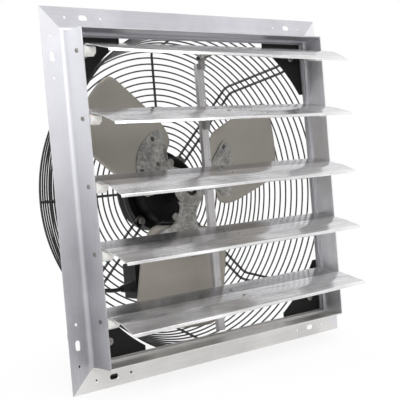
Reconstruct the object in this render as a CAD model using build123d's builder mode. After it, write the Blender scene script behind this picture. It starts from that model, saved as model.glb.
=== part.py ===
"""Shutter exhaust fan: a mitred aluminium frame with five linked louvres in front of a
three-blade fan, whose motor hangs on four wire loops in a round wire guard.

+X is right, +Y goes back into the wall and +Z is up. The origin is the fan's centre on
the front plane of the mounting flange. All sizes are in millimetres.
"""

import math
import os

from build123d import *

os.makedirs("parts", exist_ok=True)

# Working clearances
seat_gap = 0.05
running_gap = 0.06
free_gap = 0.3
cut_overrun = 2.0

# Frame profile: flange, wall and the two ribs that hold the corner keys
flange_side = 620.0
flange_thickness = 2.0
flange_width = 39.8
box_wall = 2.0
box_depth = 53.1
cove_radius = 8.0
rib_thickness = 2.0
front_rib_height = 4.2
rear_rib_height = 5.7
rib_channel = 6.0

# Mounting holes in the flange
slot_length = 17.0
slot_width = 9.0
slot_corner_inset = 79.0
hole_row_inset = 16.0
inner_hole_inset = 113.0
outer_hole_inset = 45.0
small_hole_diameter = 5.0

# Corner keys and black corner gussets
key_arm = 34.0
key_thickness = 2.0
gusset_thickness = 2.0
gusset_wall_gap = 0.5
gusset_leg = 103.7
gusset_land = 29.34
gusset_corner_radius = 3.0
gusset_screw_inset = 32.7
gusset_screw_diameter = 6.0
gusset_screw_head_diameter = 14.0
gusset_screw_head_height = 3.4
gusset_nut_flange_diameter = 20.0
gusset_nut_flange_height = 2.0
gusset_nut_width = 10.0
gusset_nut_height = 5.0

# Louvres, in the section (back, up) measured from the pivot
louvre_count = 5
louvre_top_margin = 33.63
louvre_bottom_margin = 74.21
louvre_pivot_depth = 36.0
louvre_end_gap = 2.2
louvre_sheet = 1.2
louvre_hem = (20.0, 14.9)
louvre_back_edge = (20.0, 17.7)
louvre_groove = (-18.5, 6.6)
louvre_bead = (-20.5, 8.1)
louvre_bead_front = (-24.5, 7.2)
louvre_crown = (-53.0, 0.2)
louvre_front_fold = (-80.0, -13.0)
louvre_lip_top = (-82.4, -14.0)
louvre_lip_bottom = (-84.5, -19.0)
louvre_hem_bend = 0.5
louvre_bead_bend = 1.0
louvre_crown_bend = 60.0
louvre_lip_bend = 1.5

# Nylon end clips and pivot screws
clip_width = 17.0
clip_wall_gap = 0.8
clip_boss_diameter = 17.0
clip_front = (-25.0, 2.0)
clip_front_low = (-24.0, -6.5)
clip_heel = (-16.5, -11.5)
clip_belly = (-2.0, -9.8)
clip_back_low = (12.0, -4.0)
clip_back = (16.5, 3.0)
clip_edge_radius = 1.5
pivot_screw_diameter = 5.0
pivot_screw_reach = 12.0
pivot_screw_head_diameter = 7.0
pivot_screw_head_height = 1.6
screw_slot_width = 1.2
screw_slot_depth = 1.0

# Cranks that join the louvres to the tie bar
crank_pin_back = 24.0
crank_pin_drop = 4.6
crank_pin_diameter = 4.0
crank_sheet = 1.4
crank_fork_inside = 9.0
crank_base_start = -46.5
crank_base_end = 4.0
crank_base_bend = -19.5
crank_eye_diameter = 7.2
rivet_diameter = 3.2
rivet_head_diameter = 6.4
rivet_head_height = 1.2
crank_rivets_back = (-40.0, -6.0)

# Tie bar, its nylon links and their pins
tie_bar_width = 15.0
tie_bar_sheet = 1.5
tie_bar_flange = 8.3
tie_bar_front = -8.0
tie_bar_top_drop = 13.57
tie_bar_bottom_gap = 10.2
tie_link_round = 2.0
tie_link_width = 8.4
tie_link_top = 6.5
tie_link_bottom = 19.0
tie_link_front_wall = 3.4
tie_pin_head_diameter = 7.0
tie_pin_head_height = 2.0
tie_hole_diameter = 3.0
tie_hole_inset = 3.2
tie_hole_above_pivot = 28.6

# Wire guard: rings on a flat face, then on a cone that opens towards the flange
guard_wire_diameter = 3.0
guard_spoke_diameter = 4.8
guard_face_depth = 137.0
guard_ring_motor_gap = 11.6
guard_ring_count = 15
guard_shoulder_width = 12.9
guard_shoulder_drop = 1.1
cone_mouth_inset = 13.3
cone_mouth_depth = 5.9
cone_flare = 30.0
cone_ring_count = 11
weld_depth = 0.5
spoke_overhang = 3.0
spoke_bend_radius = 7.5
spoke_count = 4

# Motor support rods: four loops of wire, one on each diagonal
rod_diameter = 5.0
rod_half_gap = 8.0
rod_end_overhang = 13.66
rod_flat_length = 41.1
rod_flat_bend = 10.0
rod_cone_reach = 3.1
rod_cone_bend = 12.0

# Motor
motor_bolt_inset = 2.0
motor_bolt_diameter = 6.0
motor_bolt_head_diameter = 14.0
motor_bolt_head_height = 4.0
motor_nut_width = 10.0
motor_nut_height = 5.0
motor_ear_radius = 11.0
motor_shell_radius = 77.0
motor_shell_wall = 2.0
motor_shell_length = 31.5
motor_shoulder_thickness = 3.0
motor_shoulder_width = 17.0
motor_nut_gap = 2.0
front_bell_inset = 14.0
front_bell_wall = 2.5
front_bell_length = 39.6
front_bell_round = 10.0
bell_boss_radius = 24.0
bell_boss_height = 8.0
rear_bell_inset = 15.0
rear_bell_depth = 15.0
rear_boss_height = 5.0
bearing_outer_radius = 17.5
bearing_width = 12.0
shaft_radius = 7.0
shaft_recess = 2.7
shaft_chamfer = 1.0
stator_tooth = 9.0
stator_stack = 24.0
rotor_air_gap = 0.5
winding_width = 4.2
winding_shoulder_gap = 0.8
winding_reach = 9.0
bell_screw_inset = 12.0
bell_screw_diameter = 5.0
bell_screw_head_diameter = 15.0
bell_screw_head_height = 3.6
bell_screw_length = 48.1

# Hub and spider
spider_sheet = 2.0
hub_boss_gap = 45.8
dish_mouth_radius = 12.0
dish_lip_radius = 17.0
dish_lip_rise = 6.2
dish_foot_radius = 29.0
dish_rim_radius = 33.0
hub_sleeve_radius = 16.0
hub_sleeve_length = 28.0
hub_flange_radius = 28.0
hub_flange_thickness = 3.0
hub_nose_radius = 11.6
hub_nose_length = 5.0
set_screw_diameter = 6.0
set_screw_setback = 19.8
set_screw_length = 10.0

# Blades: the section across the blade, as (across, back from the hub's face)
blade_sheet = 1.6
blade_tip_gap = 10.7
blade_lead_edge = (56.0, -15.8)
blade_trail_edge = (-124.0, 35.4)
blade_camber = 6.0
blade_directions = (150.0, 30.0, 270.0)
blade_corner_radius = 16.0
blade_root_round = 8.0

# Blade outline, out along the arm and across it: its tip in shares of the tip radius
blade_tip_trail_shares = (0.8711, -0.4727)
blade_mid_trail_shares = (0.5039, -0.4023)
blade_mid_lead_shares = (0.6719, 0.207)
blade_tip_lead_shares = (0.9883, 0.1328)
blade_shoulder = (82.0, -90.0)
blade_root_trail = (61.0, -65.0)
blade_root_heel = (64.0, -38.0)
blade_root_toe = (72.0, 30.0)
blade_root_lead = (88.0, 61.0)

# Spider outline, as (out along the arm, across it)
neck_start = 26.0
neck_left = -25.0
neck_right = 9.0
neck_end = 50.0
lobe_left_flare = (70.0, -50.0)
lobe_left_corner = (113.0, -63.5)
lobe_tip_left = (125.5, -25.0)
lobe_tip_right = (122.0, 30.0)
lobe_front_corner = (108.0, 30.5)
lobe_front_waist = (80.0, 19.0)
lobe_right_flare = (59.0, 10.5)
lobe_round = 6.0
blade_rivets = ((101.3, -51.2), (78.8, -10.7), (111.3, 20.3))
blade_rivet_diameter = 5.0
blade_rivet_head_diameter = 9.0
blade_rivet_head_height = 1.6

# Junction box on the guard
junction_width = 62.0
junction_height = 64.0
junction_depth = 39.4
junction_bottom_share = 0.7565
junction_rod_clearance = 22.0
junction_wall = 2.5
junction_round = 4.0
junction_cover_thickness = 2.5
cover_screw_diameter = 4.0
cover_screw_head_diameter = 11.0
cover_screw_head_height = 2.6
cover_screw_height = 34.0
cover_post_diameter = 9.0
capacitor_radius = 13.0
capacitor_post_gap = 1.5
capacitor_length = 40.0
gland_root_radius = 11.0
gland_tip_radius = 5.5
gland_length = 22.0
gland_setback = 23.4
gland_height = 22.0
lead_diameter = 8.0
lead_direction = 245.0
lead_bell_gap = 0.1
lead_reach = 29.3
lead_start_setback = 18.0
lead_end_setback = 19.0
lead_box_gap = 0.8
lead_box_rise = 24.0
lead_bend_inset = 40.0
lead_end_inset = 36.0
lead_radius_share = 0.45

# Supply cord: the hand-chosen route of its free stretch, from the gland to the coil
cord_diameter = 7.4
cord_radius_share = 0.45
cord_route = (
    (-128.6, 112.0, -170.0),
    (-146.0, 109.4, -171.2),
    (-172.8, 104.3, -165.2),
    (-196.4, 101.8, -172.4),
    (-235.3, 108.0, -193.2),
    (-240.1, 124.0, -237.2),
    (-230.0, 121.5, -276.3),
    (-230.0, 110.45, -295.44),
    (-230.0, 91.31, -306.49),
    (-230.0, 69.21, -306.49),
)

# Supply cord: the coil, wound inwards below and outwards above
coil_outer_radius = 51.5
coil_pitch = 9.3
coil_half_turns = 5
coil_layer_rise = 8.8
coil_exit_run = 30.0

# Plug at the end of the coil
plug_width = 24.0
plug_height = 18.0
plug_length = 40.0
plug_neck_length = 10.0
plug_round = 4.0
prong_length = 17.0
prong_width = 6.4
prong_thickness = 1.6
prong_spread = 12.7
plug_neck_wall = 2.0
ground_pin_diameter = 4.8
ground_pin_drop = 5.0

# Values that follow from the sizes above
flange_half = flange_side / 2
box_half = flange_half - flange_width
inner_half = box_half - box_wall
front_rib_back = -rib_thickness - rib_channel
hole_row = flange_half - hole_row_inset
slot_spread = 2 * (flange_half - slot_corner_inset)
inner_hole_spread = 2 * (flange_half - inner_hole_inset)
outer_hole_spread = 2 * (flange_half - outer_hole_inset)
gusset_half = inner_half - gusset_wall_gap
gusset_leg_start = gusset_half - gusset_leg
gusset_screw_spread = 2 * (gusset_half - gusset_screw_inset)
gusset_screw_radius = math.hypot(gusset_screw_spread, gusset_screw_spread) / 2
gusset_arc_radius = gusset_screw_radius - gusset_land
louvre_top_pivot = inner_half - louvre_top_margin
louvre_bottom_pivot = louvre_bottom_margin - inner_half
louvre_pitch = (louvre_top_pivot - louvre_bottom_pivot) / (louvre_count - 1)
louvre_pivots = [louvre_top_pivot - louvre_pitch * index for index in range(louvre_count)]
louvre_half = inner_half - louvre_end_gap
clip_outer = inner_half - clip_wall_gap
clip_inner = clip_outer - clip_width
tie_bar_top = louvre_top_pivot - tie_bar_top_drop
tie_bar_bottom = tie_bar_bottom_gap - inner_half
cone_mouth_radius = flange_half - cone_mouth_inset
cone_start_radius = cone_mouth_radius - cone_flare
cone_start_depth = guard_face_depth - guard_shoulder_drop
cone_length = cone_start_depth - cone_mouth_depth
cone_tilt = math.atan2(cone_flare, cone_length)
guard_ring_outer = cone_start_radius - guard_shoulder_width
guard_ring_inner = motor_shell_radius + guard_ring_motor_gap
guard_ring_pitch = (guard_ring_outer - guard_ring_inner) / (guard_ring_count - 1)
spoke_inner_radius = guard_ring_inner - spoke_overhang
spoke_split_radius = guard_ring_outer + spoke_overhang
rod_flat_end = gusset_screw_radius + rod_end_overhang
rod_flat_start = rod_flat_end - rod_flat_length
rod_cone_radius = cone_start_radius + rod_cone_reach
blade_tip_radius = cone_start_radius - blade_tip_gap
rod_depth = guard_face_depth + guard_wire_diameter / 2 + seat_gap + rod_diameter / 2
rod_flat_depth = gusset_thickness + seat_gap + rod_diameter / 2
spoke_depth = guard_face_depth - guard_wire_diameter / 2 - guard_spoke_diameter / 2 + weld_depth
spoke_offset = guard_wire_diameter / 2 + guard_spoke_diameter / 2 - weld_depth
spoke_cone_radius = cone_start_radius - spoke_offset / math.cos(cone_tilt)
spoke_corner_radius = spoke_cone_radius + (cone_start_depth - spoke_depth) * math.tan(cone_tilt)
spoke_end_depth = flange_thickness + free_gap + guard_spoke_diameter / 2 * math.sin(cone_tilt)
spoke_end_radius = spoke_cone_radius + (cone_start_depth - spoke_end_depth) * math.tan(cone_tilt)
shoulder_front = rod_depth + rod_diameter / 2 + seat_gap
shoulder_back = shoulder_front + motor_shoulder_thickness
shell_back = shoulder_front + motor_shell_length
bolt_radius = motor_shell_radius - motor_bolt_inset
motor_shoulder_opening = motor_shell_radius - motor_shoulder_width
front_bell_radius = motor_shell_radius - front_bell_inset
rear_bell_radius = motor_shell_radius - rear_bell_inset
bell_screw_radius = front_bell_radius - bell_screw_inset
winding_outer_radius = motor_shoulder_opening - winding_shoulder_gap
winding_inner_radius = winding_outer_radius - winding_width
stator_inner_radius = winding_inner_radius - stator_tooth
stator_front = shoulder_back + seat_gap
stator_back = stator_front + stator_stack
shell_inner_radius = motor_shell_radius - motor_shell_wall
front_bell_front = shoulder_front - front_bell_length
boss_front = front_bell_front - bell_boss_height
hub_face_depth = boss_front - hub_boss_gap
dish_lip_depth = hub_face_depth - dish_lip_rise
shaft_front = hub_face_depth - shaft_recess
set_screw_depth = hub_face_depth + set_screw_setback
rear_bell_back = shell_back + rear_bell_depth
rear_boss_back = rear_bell_back + rear_boss_height
junction_back = guard_face_depth - guard_wire_diameter / 2 - 2 * seat_gap
junction_front = junction_back - junction_depth
junction_bottom = -junction_bottom_share * guard_ring_outer
junction_top = junction_bottom + junction_height
junction_left = junction_top + junction_rod_clearance
cover_screw_level = junction_bottom + cover_screw_height
post_reach = capacitor_radius + capacitor_post_gap + cover_post_diameter / 2
cover_screw_inset = junction_width / 2 - post_reach
gland_depth = junction_back - gland_setback
gland_level = junction_bottom + gland_height
junction_centre = (junction_left + junction_width / 2, junction_bottom + junction_height / 2)
cover_back = junction_front + junction_cover_thickness
cord_radius = cord_diameter / 2
sides = {"top": 0.0, "right": 90.0, "bottom": 180.0, "left": 270.0}
diagonals = {"top_right": 45.0, "top_left": 135.0, "bottom_left": 225.0, "bottom_right": 315.0}


def front_plane(depth):
    """The plane at a depth behind the flange front, drawn in (X, Z), extruding forwards."""
    return Plane.XZ.offset(-depth)


def radial_direction(degrees):
    """The direction in the fan's plane at an angle from +X towards +Z."""
    return Vector(math.cos(math.radians(degrees)), 0, math.sin(math.radians(degrees)))


def radial_plane(degrees):
    """The plane through the fan's axis, drawn in (out, back)."""
    out = radial_direction(degrees)
    back = Vector(0, 1, 0)
    return Plane(origin=(0, 0, 0), x_dir=out, z_dir=out.cross(back))


def finish(piece, name):
    """Label a piece and write its STEP file."""
    piece.part.label = name
    export_step(piece.part, f"parts/{name}.step")


# Frame: four mitred lengths, the upright ones bored for the louvre pivots
def frame_length(turn, bored):
    with BuildPart() as length:
        section_plane = radial_plane(90.0 - turn)
        with BuildSketch(section_plane):
            with Locations(((inner_half + flange_half) / 2, flange_thickness / 2)):
                Rectangle(flange_half - inner_half, flange_thickness)
            with Locations((box_half - box_wall / 2, -box_depth / 2)):
                Rectangle(box_wall, box_depth)
            with Locations((inner_half - front_rib_height / 2, front_rib_back - rib_thickness / 2)):
                Rectangle(front_rib_height, rib_thickness)
            with Locations((inner_half - rear_rib_height / 2, -rib_thickness / 2)):
                Rectangle(rear_rib_height, rib_thickness)
            cove_corner = vertices().sort_by_distance((box_half, 0))[0]
            fillet(cove_corner, radius=cove_radius)
        extrude(amount=flange_half, both=True)
        outward = section_plane.x_dir
        along = section_plane.z_dir
        for end in (along, -along):
            split(bisect_by=Plane(origin=(0, 0, 0), z_dir=end - outward), keep=Keep.BOTTOM)
        flange_plane = Plane(origin=outward * hole_row, x_dir=along, z_dir=(0, 1, 0))
        with BuildSketch(flange_plane.offset(flange_thickness / 2)):
            with GridLocations(slot_spread, 0, 2, 1):
                SlotOverall(slot_length, slot_width)
            with GridLocations(inner_hole_spread, 0, 2, 1):
                Circle(small_hole_diameter / 2)
            with GridLocations(outer_hole_spread, 0, 2, 1):
                Circle(small_hole_diameter / 2)
        extrude(amount=cut_overrun, both=True, mode=Mode.SUBTRACT)
        if bored:
            with BuildSketch(Plane.YZ.offset(outward.X * (box_half - box_wall / 2))):
                with Locations(*[(-louvre_pivot_depth, level) for level in louvre_pivots]):
                    Circle(pivot_screw_diameter / 2 + running_gap)
            extrude(amount=cut_overrun, both=True, mode=Mode.SUBTRACT)
    return length


for side, turn in sides.items():
    frame_piece = frame_length(turn, side in ("left", "right"))
    finish(frame_piece, f"frame_{side}")

# Corner keys: an angle pressed into the channel between the two ribs at each corner
key_outer = inner_half - seat_gap
key_inner = key_outer - key_thickness
key_start = key_outer - key_arm
with BuildPart() as corner_keys:
    with BuildSketch(front_plane(front_rib_back + seat_gap)):
        with PolarLocations(0, len(sides)):
            Polygon(
                (key_outer, key_outer),
                (key_start, key_outer),
                (key_start, key_inner),
                (key_inner, key_inner),
                (key_inner, key_start),
                (key_outer, key_start),
                align=None,
            )
    extrude(amount=-(rib_channel - 2 * seat_gap))
finish(corner_keys, "corner_keys")

# Gussets: black corner plates with a round inner edge, one behind each frame corner
with BuildPart() as corner_gussets:
    with BuildSketch(front_plane(0)):
        with PolarLocations(0, len(sides)):
            Polygon(
                (gusset_half, gusset_half),
                (gusset_leg_start, gusset_half),
                (gusset_leg_start, gusset_leg_start),
                (gusset_half, gusset_leg_start),
                align=None,
            )
        outer_corners = [
            vertices().sort_by_distance((x * gusset_half, z * gusset_half))[0]
            for x in (-1, 1)
            for z in (-1, 1)
        ]
        fillet(outer_corners, radius=gusset_corner_radius)
        Circle(gusset_arc_radius, mode=Mode.SUBTRACT)
        with GridLocations(gusset_screw_spread, gusset_screw_spread, 2, 2):
            Circle(gusset_screw_diameter / 2 + running_gap, mode=Mode.SUBTRACT)
    extrude(amount=-gusset_thickness)
finish(corner_gussets, "corner_gussets")

# Gusset screws, whose flanged nuts clamp the ends of the support rods
rod_back = rod_flat_depth + rod_diameter / 2
nut_face = rod_back + seat_gap
with BuildPart() as gusset_screws:
    with BuildSketch(front_plane(-seat_gap)):
        with GridLocations(gusset_screw_spread, gusset_screw_spread, 2, 2):
            Circle(gusset_screw_head_diameter / 2)
    extrude(amount=gusset_screw_head_height)
    head_rims = edges().group_by(Axis.Y)[0]
    fillet(head_rims, radius=gusset_screw_head_height / 2)
    with BuildSketch(front_plane(-seat_gap)):
        with GridLocations(gusset_screw_spread, gusset_screw_spread, 2, 2):
            Circle(gusset_screw_diameter / 2)
    extrude(amount=-(nut_face + gusset_nut_flange_height + gusset_nut_height + seat_gap))
    with BuildSketch(front_plane(-seat_gap - gusset_screw_head_height)):
        with GridLocations(gusset_screw_spread, gusset_screw_spread, 2, 2):
            Rectangle(gusset_screw_diameter, screw_slot_width)
            Rectangle(screw_slot_width, gusset_screw_diameter)
    extrude(amount=-screw_slot_depth, mode=Mode.SUBTRACT)
finish(gusset_screws, "gusset_screws")

with BuildPart() as gusset_nuts:
    with BuildSketch(front_plane(nut_face)):
        with GridLocations(gusset_screw_spread, gusset_screw_spread, 2, 2):
            Circle(gusset_nut_flange_diameter / 2)
    extrude(amount=-gusset_nut_flange_height)
    with BuildSketch(front_plane(nut_face + gusset_nut_flange_height)):
        with GridLocations(gusset_screw_spread, gusset_screw_spread, 2, 2):
            RegularPolygon(gusset_nut_width / 2, 6, major_radius=False)
    extrude(amount=-gusset_nut_height)
    with BuildSketch(front_plane(nut_face)):
        with GridLocations(gusset_screw_spread, gusset_screw_spread, 2, 2):
            Circle(gusset_screw_diameter / 2 + seat_gap)
    extrude(
        amount=-(gusset_nut_flange_height + gusset_nut_height + cut_overrun),
        mode=Mode.SUBTRACT,
    )
finish(gusset_nuts, "gusset_nuts")


# Louvres: folded sheets with a hemmed back edge, a bead and a turned-down front lip
def pivot_point(level, offset):
    """A point of the louvre section, (back, up) from the pivot, in (Y, Z)."""
    return (offset[0] - louvre_pivot_depth, offset[1] + level)


def side_step(start, end):
    """The unit step to the left of the way from one point to another."""
    run = math.dist(start, end)
    return ((start[1] - end[1]) / run, (end[0] - start[0]) / run)


def bent_strip(points, bends, thickness, level):
    """Sketch a folded sheet to the left of its points, with an inner radius at each bend."""
    steps = [side_step(start, end) for start, end in zip(points, points[1:])]
    under = []
    corners = []
    for here, before, after in zip(points, steps[:1] + steps, steps + steps[-1:]):
        reach = thickness / (1 + before[0] * after[0] + before[1] * after[1])
        below = (here[0] + (before[0] + after[0]) * reach, here[1] + (before[1] + after[1]) * reach)
        turns_left = before[0] * after[1] > before[1] * after[0]
        under.append(below)
        if here in bends:
            inner, outer = (below, here) if turns_left else (here, below)
            corners.append((inner, bends[here]))
            corners.append((outer, bends[here] + thickness))
    outline = [*points, *reversed(under)]
    Polygon(*[pivot_point(level, corner) for corner in outline], align=None)
    for corner, radius in corners:
        fillet(vertices().sort_by_distance(pivot_point(level, corner))[0], radius=radius)


louvre_folds = (
    louvre_hem,
    louvre_back_edge,
    louvre_groove,
    louvre_bead,
    louvre_bead_front,
    louvre_crown,
    louvre_front_fold,
    louvre_lip_top,
    louvre_lip_bottom,
)
louvre_bends = {
    louvre_back_edge: louvre_hem_bend,
    louvre_groove: louvre_bead_bend,
    louvre_bead: louvre_bead_bend,
    louvre_crown: louvre_crown_bend,
    louvre_lip_top: louvre_lip_bend,
}


def section_slope(start, end):
    """The slope of a straight part of the louvre section."""
    return (end[1] - start[1]) / (end[0] - start[0])


# The sheet's rear and middle stretches, whose undersides meet the clips and the cranks
rear_slope = section_slope(louvre_groove, louvre_back_edge)
middle_slope = section_slope(louvre_crown, louvre_bead_front)


def stretch(back):
    """A point and the slope of the rear or middle stretch above a place."""
    if back > louvre_bead[0]:
        return louvre_back_edge, rear_slope
    return louvre_bead_front, middle_slope


def underside(back):
    """Height of the sheet's underside above the pivot, less the seat gap."""
    start, slope = stretch(back)
    return start[1] + slope * (back - start[0]) - louvre_sheet * math.hypot(1, slope) - seat_gap


def crank_seat(level, back):
    """The plane of the sheet's underside at a crank rivet, facing up through the sheet."""
    slope = stretch(back)[1]
    place = pivot_point(level, (back, underside(back)))
    return Plane(origin=(0, *place), x_dir=(1, 0, 0), z_dir=(0, -slope, 1))


def louvre_sheet_blade(level):
    with BuildPart() as sheet:
        with BuildSketch(Plane.YZ):
            bent_strip(louvre_folds, louvre_bends, louvre_sheet, level)
        extrude(amount=louvre_half, both=True)
        for rivet_back in crank_rivets_back:
            with BuildSketch(crank_seat(level, rivet_back)):
                Circle(rivet_diameter / 2 + running_gap)
            extrude(amount=rivet_head_diameter, both=True, mode=Mode.SUBTRACT)
    return sheet


def louvre_clips(level):
    """Two nylon clips under the louvre ends, bored for the pivot screws."""
    clip_top = (
        (clip_back[0], underside(clip_back[0])),
        (louvre_groove[0] + clip_edge_radius, underside(louvre_groove[0] + clip_edge_radius)),
        (clip_front[0], clip_front[1]),
    )
    outline = clip_top + (clip_front_low, clip_heel, clip_belly, clip_back_low, clip_back)
    with BuildPart() as clips:
        for end in (-1, 1):
            with BuildSketch(Plane.YZ.offset(end * (clip_inner + clip_outer) / 2)):
                Polygon(*[pivot_point(level, corner) for corner in outline], align=None)
                fillet(vertices(), radius=clip_edge_radius)
                with Locations(pivot_point(level, (0, 0))):
                    Circle(clip_boss_diameter / 2)
                    Circle(pivot_screw_diameter / 2 + running_gap, mode=Mode.SUBTRACT)
            extrude(amount=clip_width / 2, both=True)
    return clips


def louvre_crank(level):
    """A folded crank: a base riveted under the louvre and a fork that takes the tie pin."""
    base = [
        (back, underside(back))
        for back in (crank_base_start, louvre_bead_front[0], crank_base_bend, crank_base_end)
    ]
    base_under = [(back, up - crank_sheet) for back, up in reversed(base)]
    eye = (crank_pin_back, -crank_pin_drop)
    fork_half = crank_fork_inside / 2
    web = (
        *[(back, up - crank_sheet / 2) for back, up in base[1:]],
        (eye[0] + crank_eye_diameter / 4, eye[1] + crank_eye_diameter / 3),
        (eye[0] - crank_eye_diameter / 4, eye[1] - crank_eye_diameter / 3),
        (base[1][0], base[1][1] - 2 * crank_eye_diameter / 3),
    )
    with BuildPart() as crank:
        with BuildSketch(Plane.YZ):
            Polygon(*[pivot_point(level, corner) for corner in (*base, *base_under)], align=None)
        extrude(amount=fork_half + crank_sheet, both=True)
        with BuildSketch(Plane.YZ.offset(-fork_half), Plane.YZ.offset(fork_half + crank_sheet)):
            Polygon(*[pivot_point(level, corner) for corner in web], align=None)
            with Locations(pivot_point(level, eye)):
                Circle(crank_eye_diameter / 2)
        extrude(amount=-crank_sheet)
        with BuildSketch(Plane.YZ):
            with Locations(pivot_point(level, eye)):
                Circle(crank_pin_diameter / 2 + running_gap)
        extrude(amount=fork_half + 2 * crank_sheet, both=True, mode=Mode.SUBTRACT)
        for rivet_back in crank_rivets_back:
            seat = crank_seat(level, rivet_back)
            top = louvre_sheet + 2 * seat_gap
            foot = crank_sheet + seat_gap
            with BuildSketch(seat):
                Circle(rivet_diameter / 2 + running_gap)
            extrude(amount=rivet_head_height, both=True, mode=Mode.SUBTRACT)
            with BuildSketch(seat.offset(top)):
                Circle(rivet_head_diameter / 2)
            extrude(amount=rivet_head_height)
            with BuildSketch(seat.offset(top)):
                Circle(rivet_diameter / 2)
            extrude(amount=-(top + foot))
            with BuildSketch(seat.offset(-foot)):
                Circle(rivet_head_diameter / 2)
            extrude(amount=-rivet_head_height)
    return crank


for index, level in enumerate(louvre_pivots, start=1):
    finish(louvre_sheet_blade(level), f"louvre_{index}")
    finish(louvre_clips(level), f"louvre_{index}_clips")
    finish(louvre_crank(level), f"louvre_{index}_crank")

# Pivot screws, from outside through the frame walls into the clips
with BuildPart() as pivot_screws:
    for end in (-1, 1):
        wall_face = Plane.YZ.offset(end * (box_half + seat_gap))
        places = [pivot_point(level, (0, 0)) for level in louvre_pivots]
        with BuildSketch(wall_face):
            with Locations(*places):
                Circle(pivot_screw_head_diameter / 2)
        extrude(amount=end * pivot_screw_head_height)
        with BuildSketch(wall_face):
            with Locations(*places):
                Circle(pivot_screw_diameter / 2)
        extrude(amount=-end * (box_wall + clip_wall_gap + pivot_screw_reach))
        with BuildSketch(wall_face.offset(end * pivot_screw_head_height)):
            with Locations(*places):
                Rectangle(screw_slot_width, pivot_screw_diameter)
        extrude(amount=-end * screw_slot_depth, mode=Mode.SUBTRACT)
finish(pivot_screws, "pivot_screws")

# Tie bar: an angle with a small hole beside each louvre
tie_half = tie_bar_width / 2
with BuildPart() as tie_bar:
    with BuildSketch(Plane.XY.offset(tie_bar_bottom)):
        with Locations((0, tie_bar_front + tie_bar_sheet / 2)):
            Rectangle(tie_bar_width, tie_bar_sheet)
        with Locations((-tie_half + tie_bar_sheet / 2, tie_bar_front + tie_bar_flange / 2)):
            Rectangle(tie_bar_sheet, tie_bar_flange)
    extrude(amount=tie_bar_top - tie_bar_bottom)
    with BuildSketch(front_plane(tie_bar_front)):
        for level in louvre_pivots[1:]:
            with Locations((tie_half - tie_hole_inset, level + tie_hole_above_pivot)):
                Circle(tie_hole_diameter / 2)
    extrude(amount=-(tie_bar_sheet + cut_overrun), mode=Mode.SUBTRACT)
finish(tie_bar, "tie_bar")

# Nylon links on the front of the tie bar, which hold the crank pins
pin_depth = crank_pin_back - louvre_pivot_depth
link_front = pin_depth - crank_pin_diameter / 2 - tie_link_front_wall
link_back = tie_bar_front - seat_gap
with BuildPart() as tie_links:
    for level in louvre_pivots:
        pin_level = level - crank_pin_drop
        with BuildSketch(Plane.YZ):
            with BuildLine():
                FilletPolyline(
                    (link_front, pin_level - tie_link_bottom),
                    (link_front, pin_level + tie_link_top),
                    (link_back, pin_level + tie_link_top),
                    (link_back, pin_level - tie_link_bottom),
                    radius=tie_link_round,
                    close=True,
                )
            make_face()
            with Locations((pin_depth, pin_level)):
                Circle(crank_pin_diameter / 2 + seat_gap, mode=Mode.SUBTRACT)
        extrude(amount=tie_link_width / 2, both=True)
finish(tie_links, "tie_links")

# Crank pins, headed on both sides of the fork
pin_reach = crank_fork_inside / 2 + crank_sheet + running_gap
with BuildPart() as tie_pins:
    places = [(pin_depth, level - crank_pin_drop) for level in louvre_pivots]
    with BuildSketch(Plane.YZ):
        with Locations(*places):
            Circle(crank_pin_diameter / 2)
    extrude(amount=pin_reach, both=True)
    for end in (-1, 1):
        with BuildSketch(Plane.YZ.offset(end * pin_reach)):
            with Locations(*places):
                Circle(tie_pin_head_diameter / 2)
        extrude(amount=end * tie_pin_head_height)
finish(tie_pins, "tie_pins")

# Guard face: rings welded behind four straight spokes
with BuildPart() as guard_face:
    for index in range(guard_ring_count):
        with Locations(front_plane(guard_face_depth)):
            Torus(guard_ring_outer - guard_ring_pitch * index, guard_wire_diameter / 2)
    for turn in range(spoke_count):
        out = radial_direction(turn * 360.0 / spoke_count)
        start = out * spoke_inner_radius + Vector(0, spoke_depth, 0)
        with BuildSketch(Plane(origin=start, z_dir=out)):
            Circle(guard_spoke_diameter / 2)
        extrude(amount=spoke_split_radius - spoke_inner_radius)
finish(guard_face, "guard_face")

# Guard side: the cone's rings outside four wires that run forwards to the flange
shoulder_turn = math.radians(90.0) - cone_tilt
shoulder_way = cone_tilt + shoulder_turn / 2
shoulder_reach = spoke_bend_radius + spoke_offset - spoke_bend_radius / math.cos(shoulder_turn / 2)
cone_rings = [
    (
        spoke_corner_radius + shoulder_reach * math.cos(shoulder_way),
        spoke_depth + shoulder_reach * math.sin(shoulder_way),
    )
]
for index in range(1, cone_ring_count):
    cone_share = index / (cone_ring_count - 1)
    cone_rings.append(
        (cone_start_radius + cone_flare * cone_share, cone_start_depth - cone_length * cone_share)
    )
with BuildPart() as guard_side:
    for ring_radius, ring_depth in cone_rings:
        with Locations(front_plane(ring_depth)):
            Torus(ring_radius, guard_wire_diameter / 2)
    for turn in range(spoke_count):
        spoke_plane = radial_plane(turn * 360.0 / spoke_count)
        with BuildLine(spoke_plane) as spoke_line:
            FilletPolyline(
                (spoke_split_radius + seat_gap, spoke_depth),
                (spoke_corner_radius, spoke_depth),
                (spoke_end_radius, spoke_end_depth),
                radius=spoke_bend_radius,
            )
        spoke_path = spoke_line.wires()[0]
        with BuildSketch(Plane(origin=spoke_path @ 0, z_dir=spoke_path % 0)):
            Circle(guard_spoke_diameter / 2)
        sweep(path=spoke_path)
finish(guard_side, "guard_side")


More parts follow.
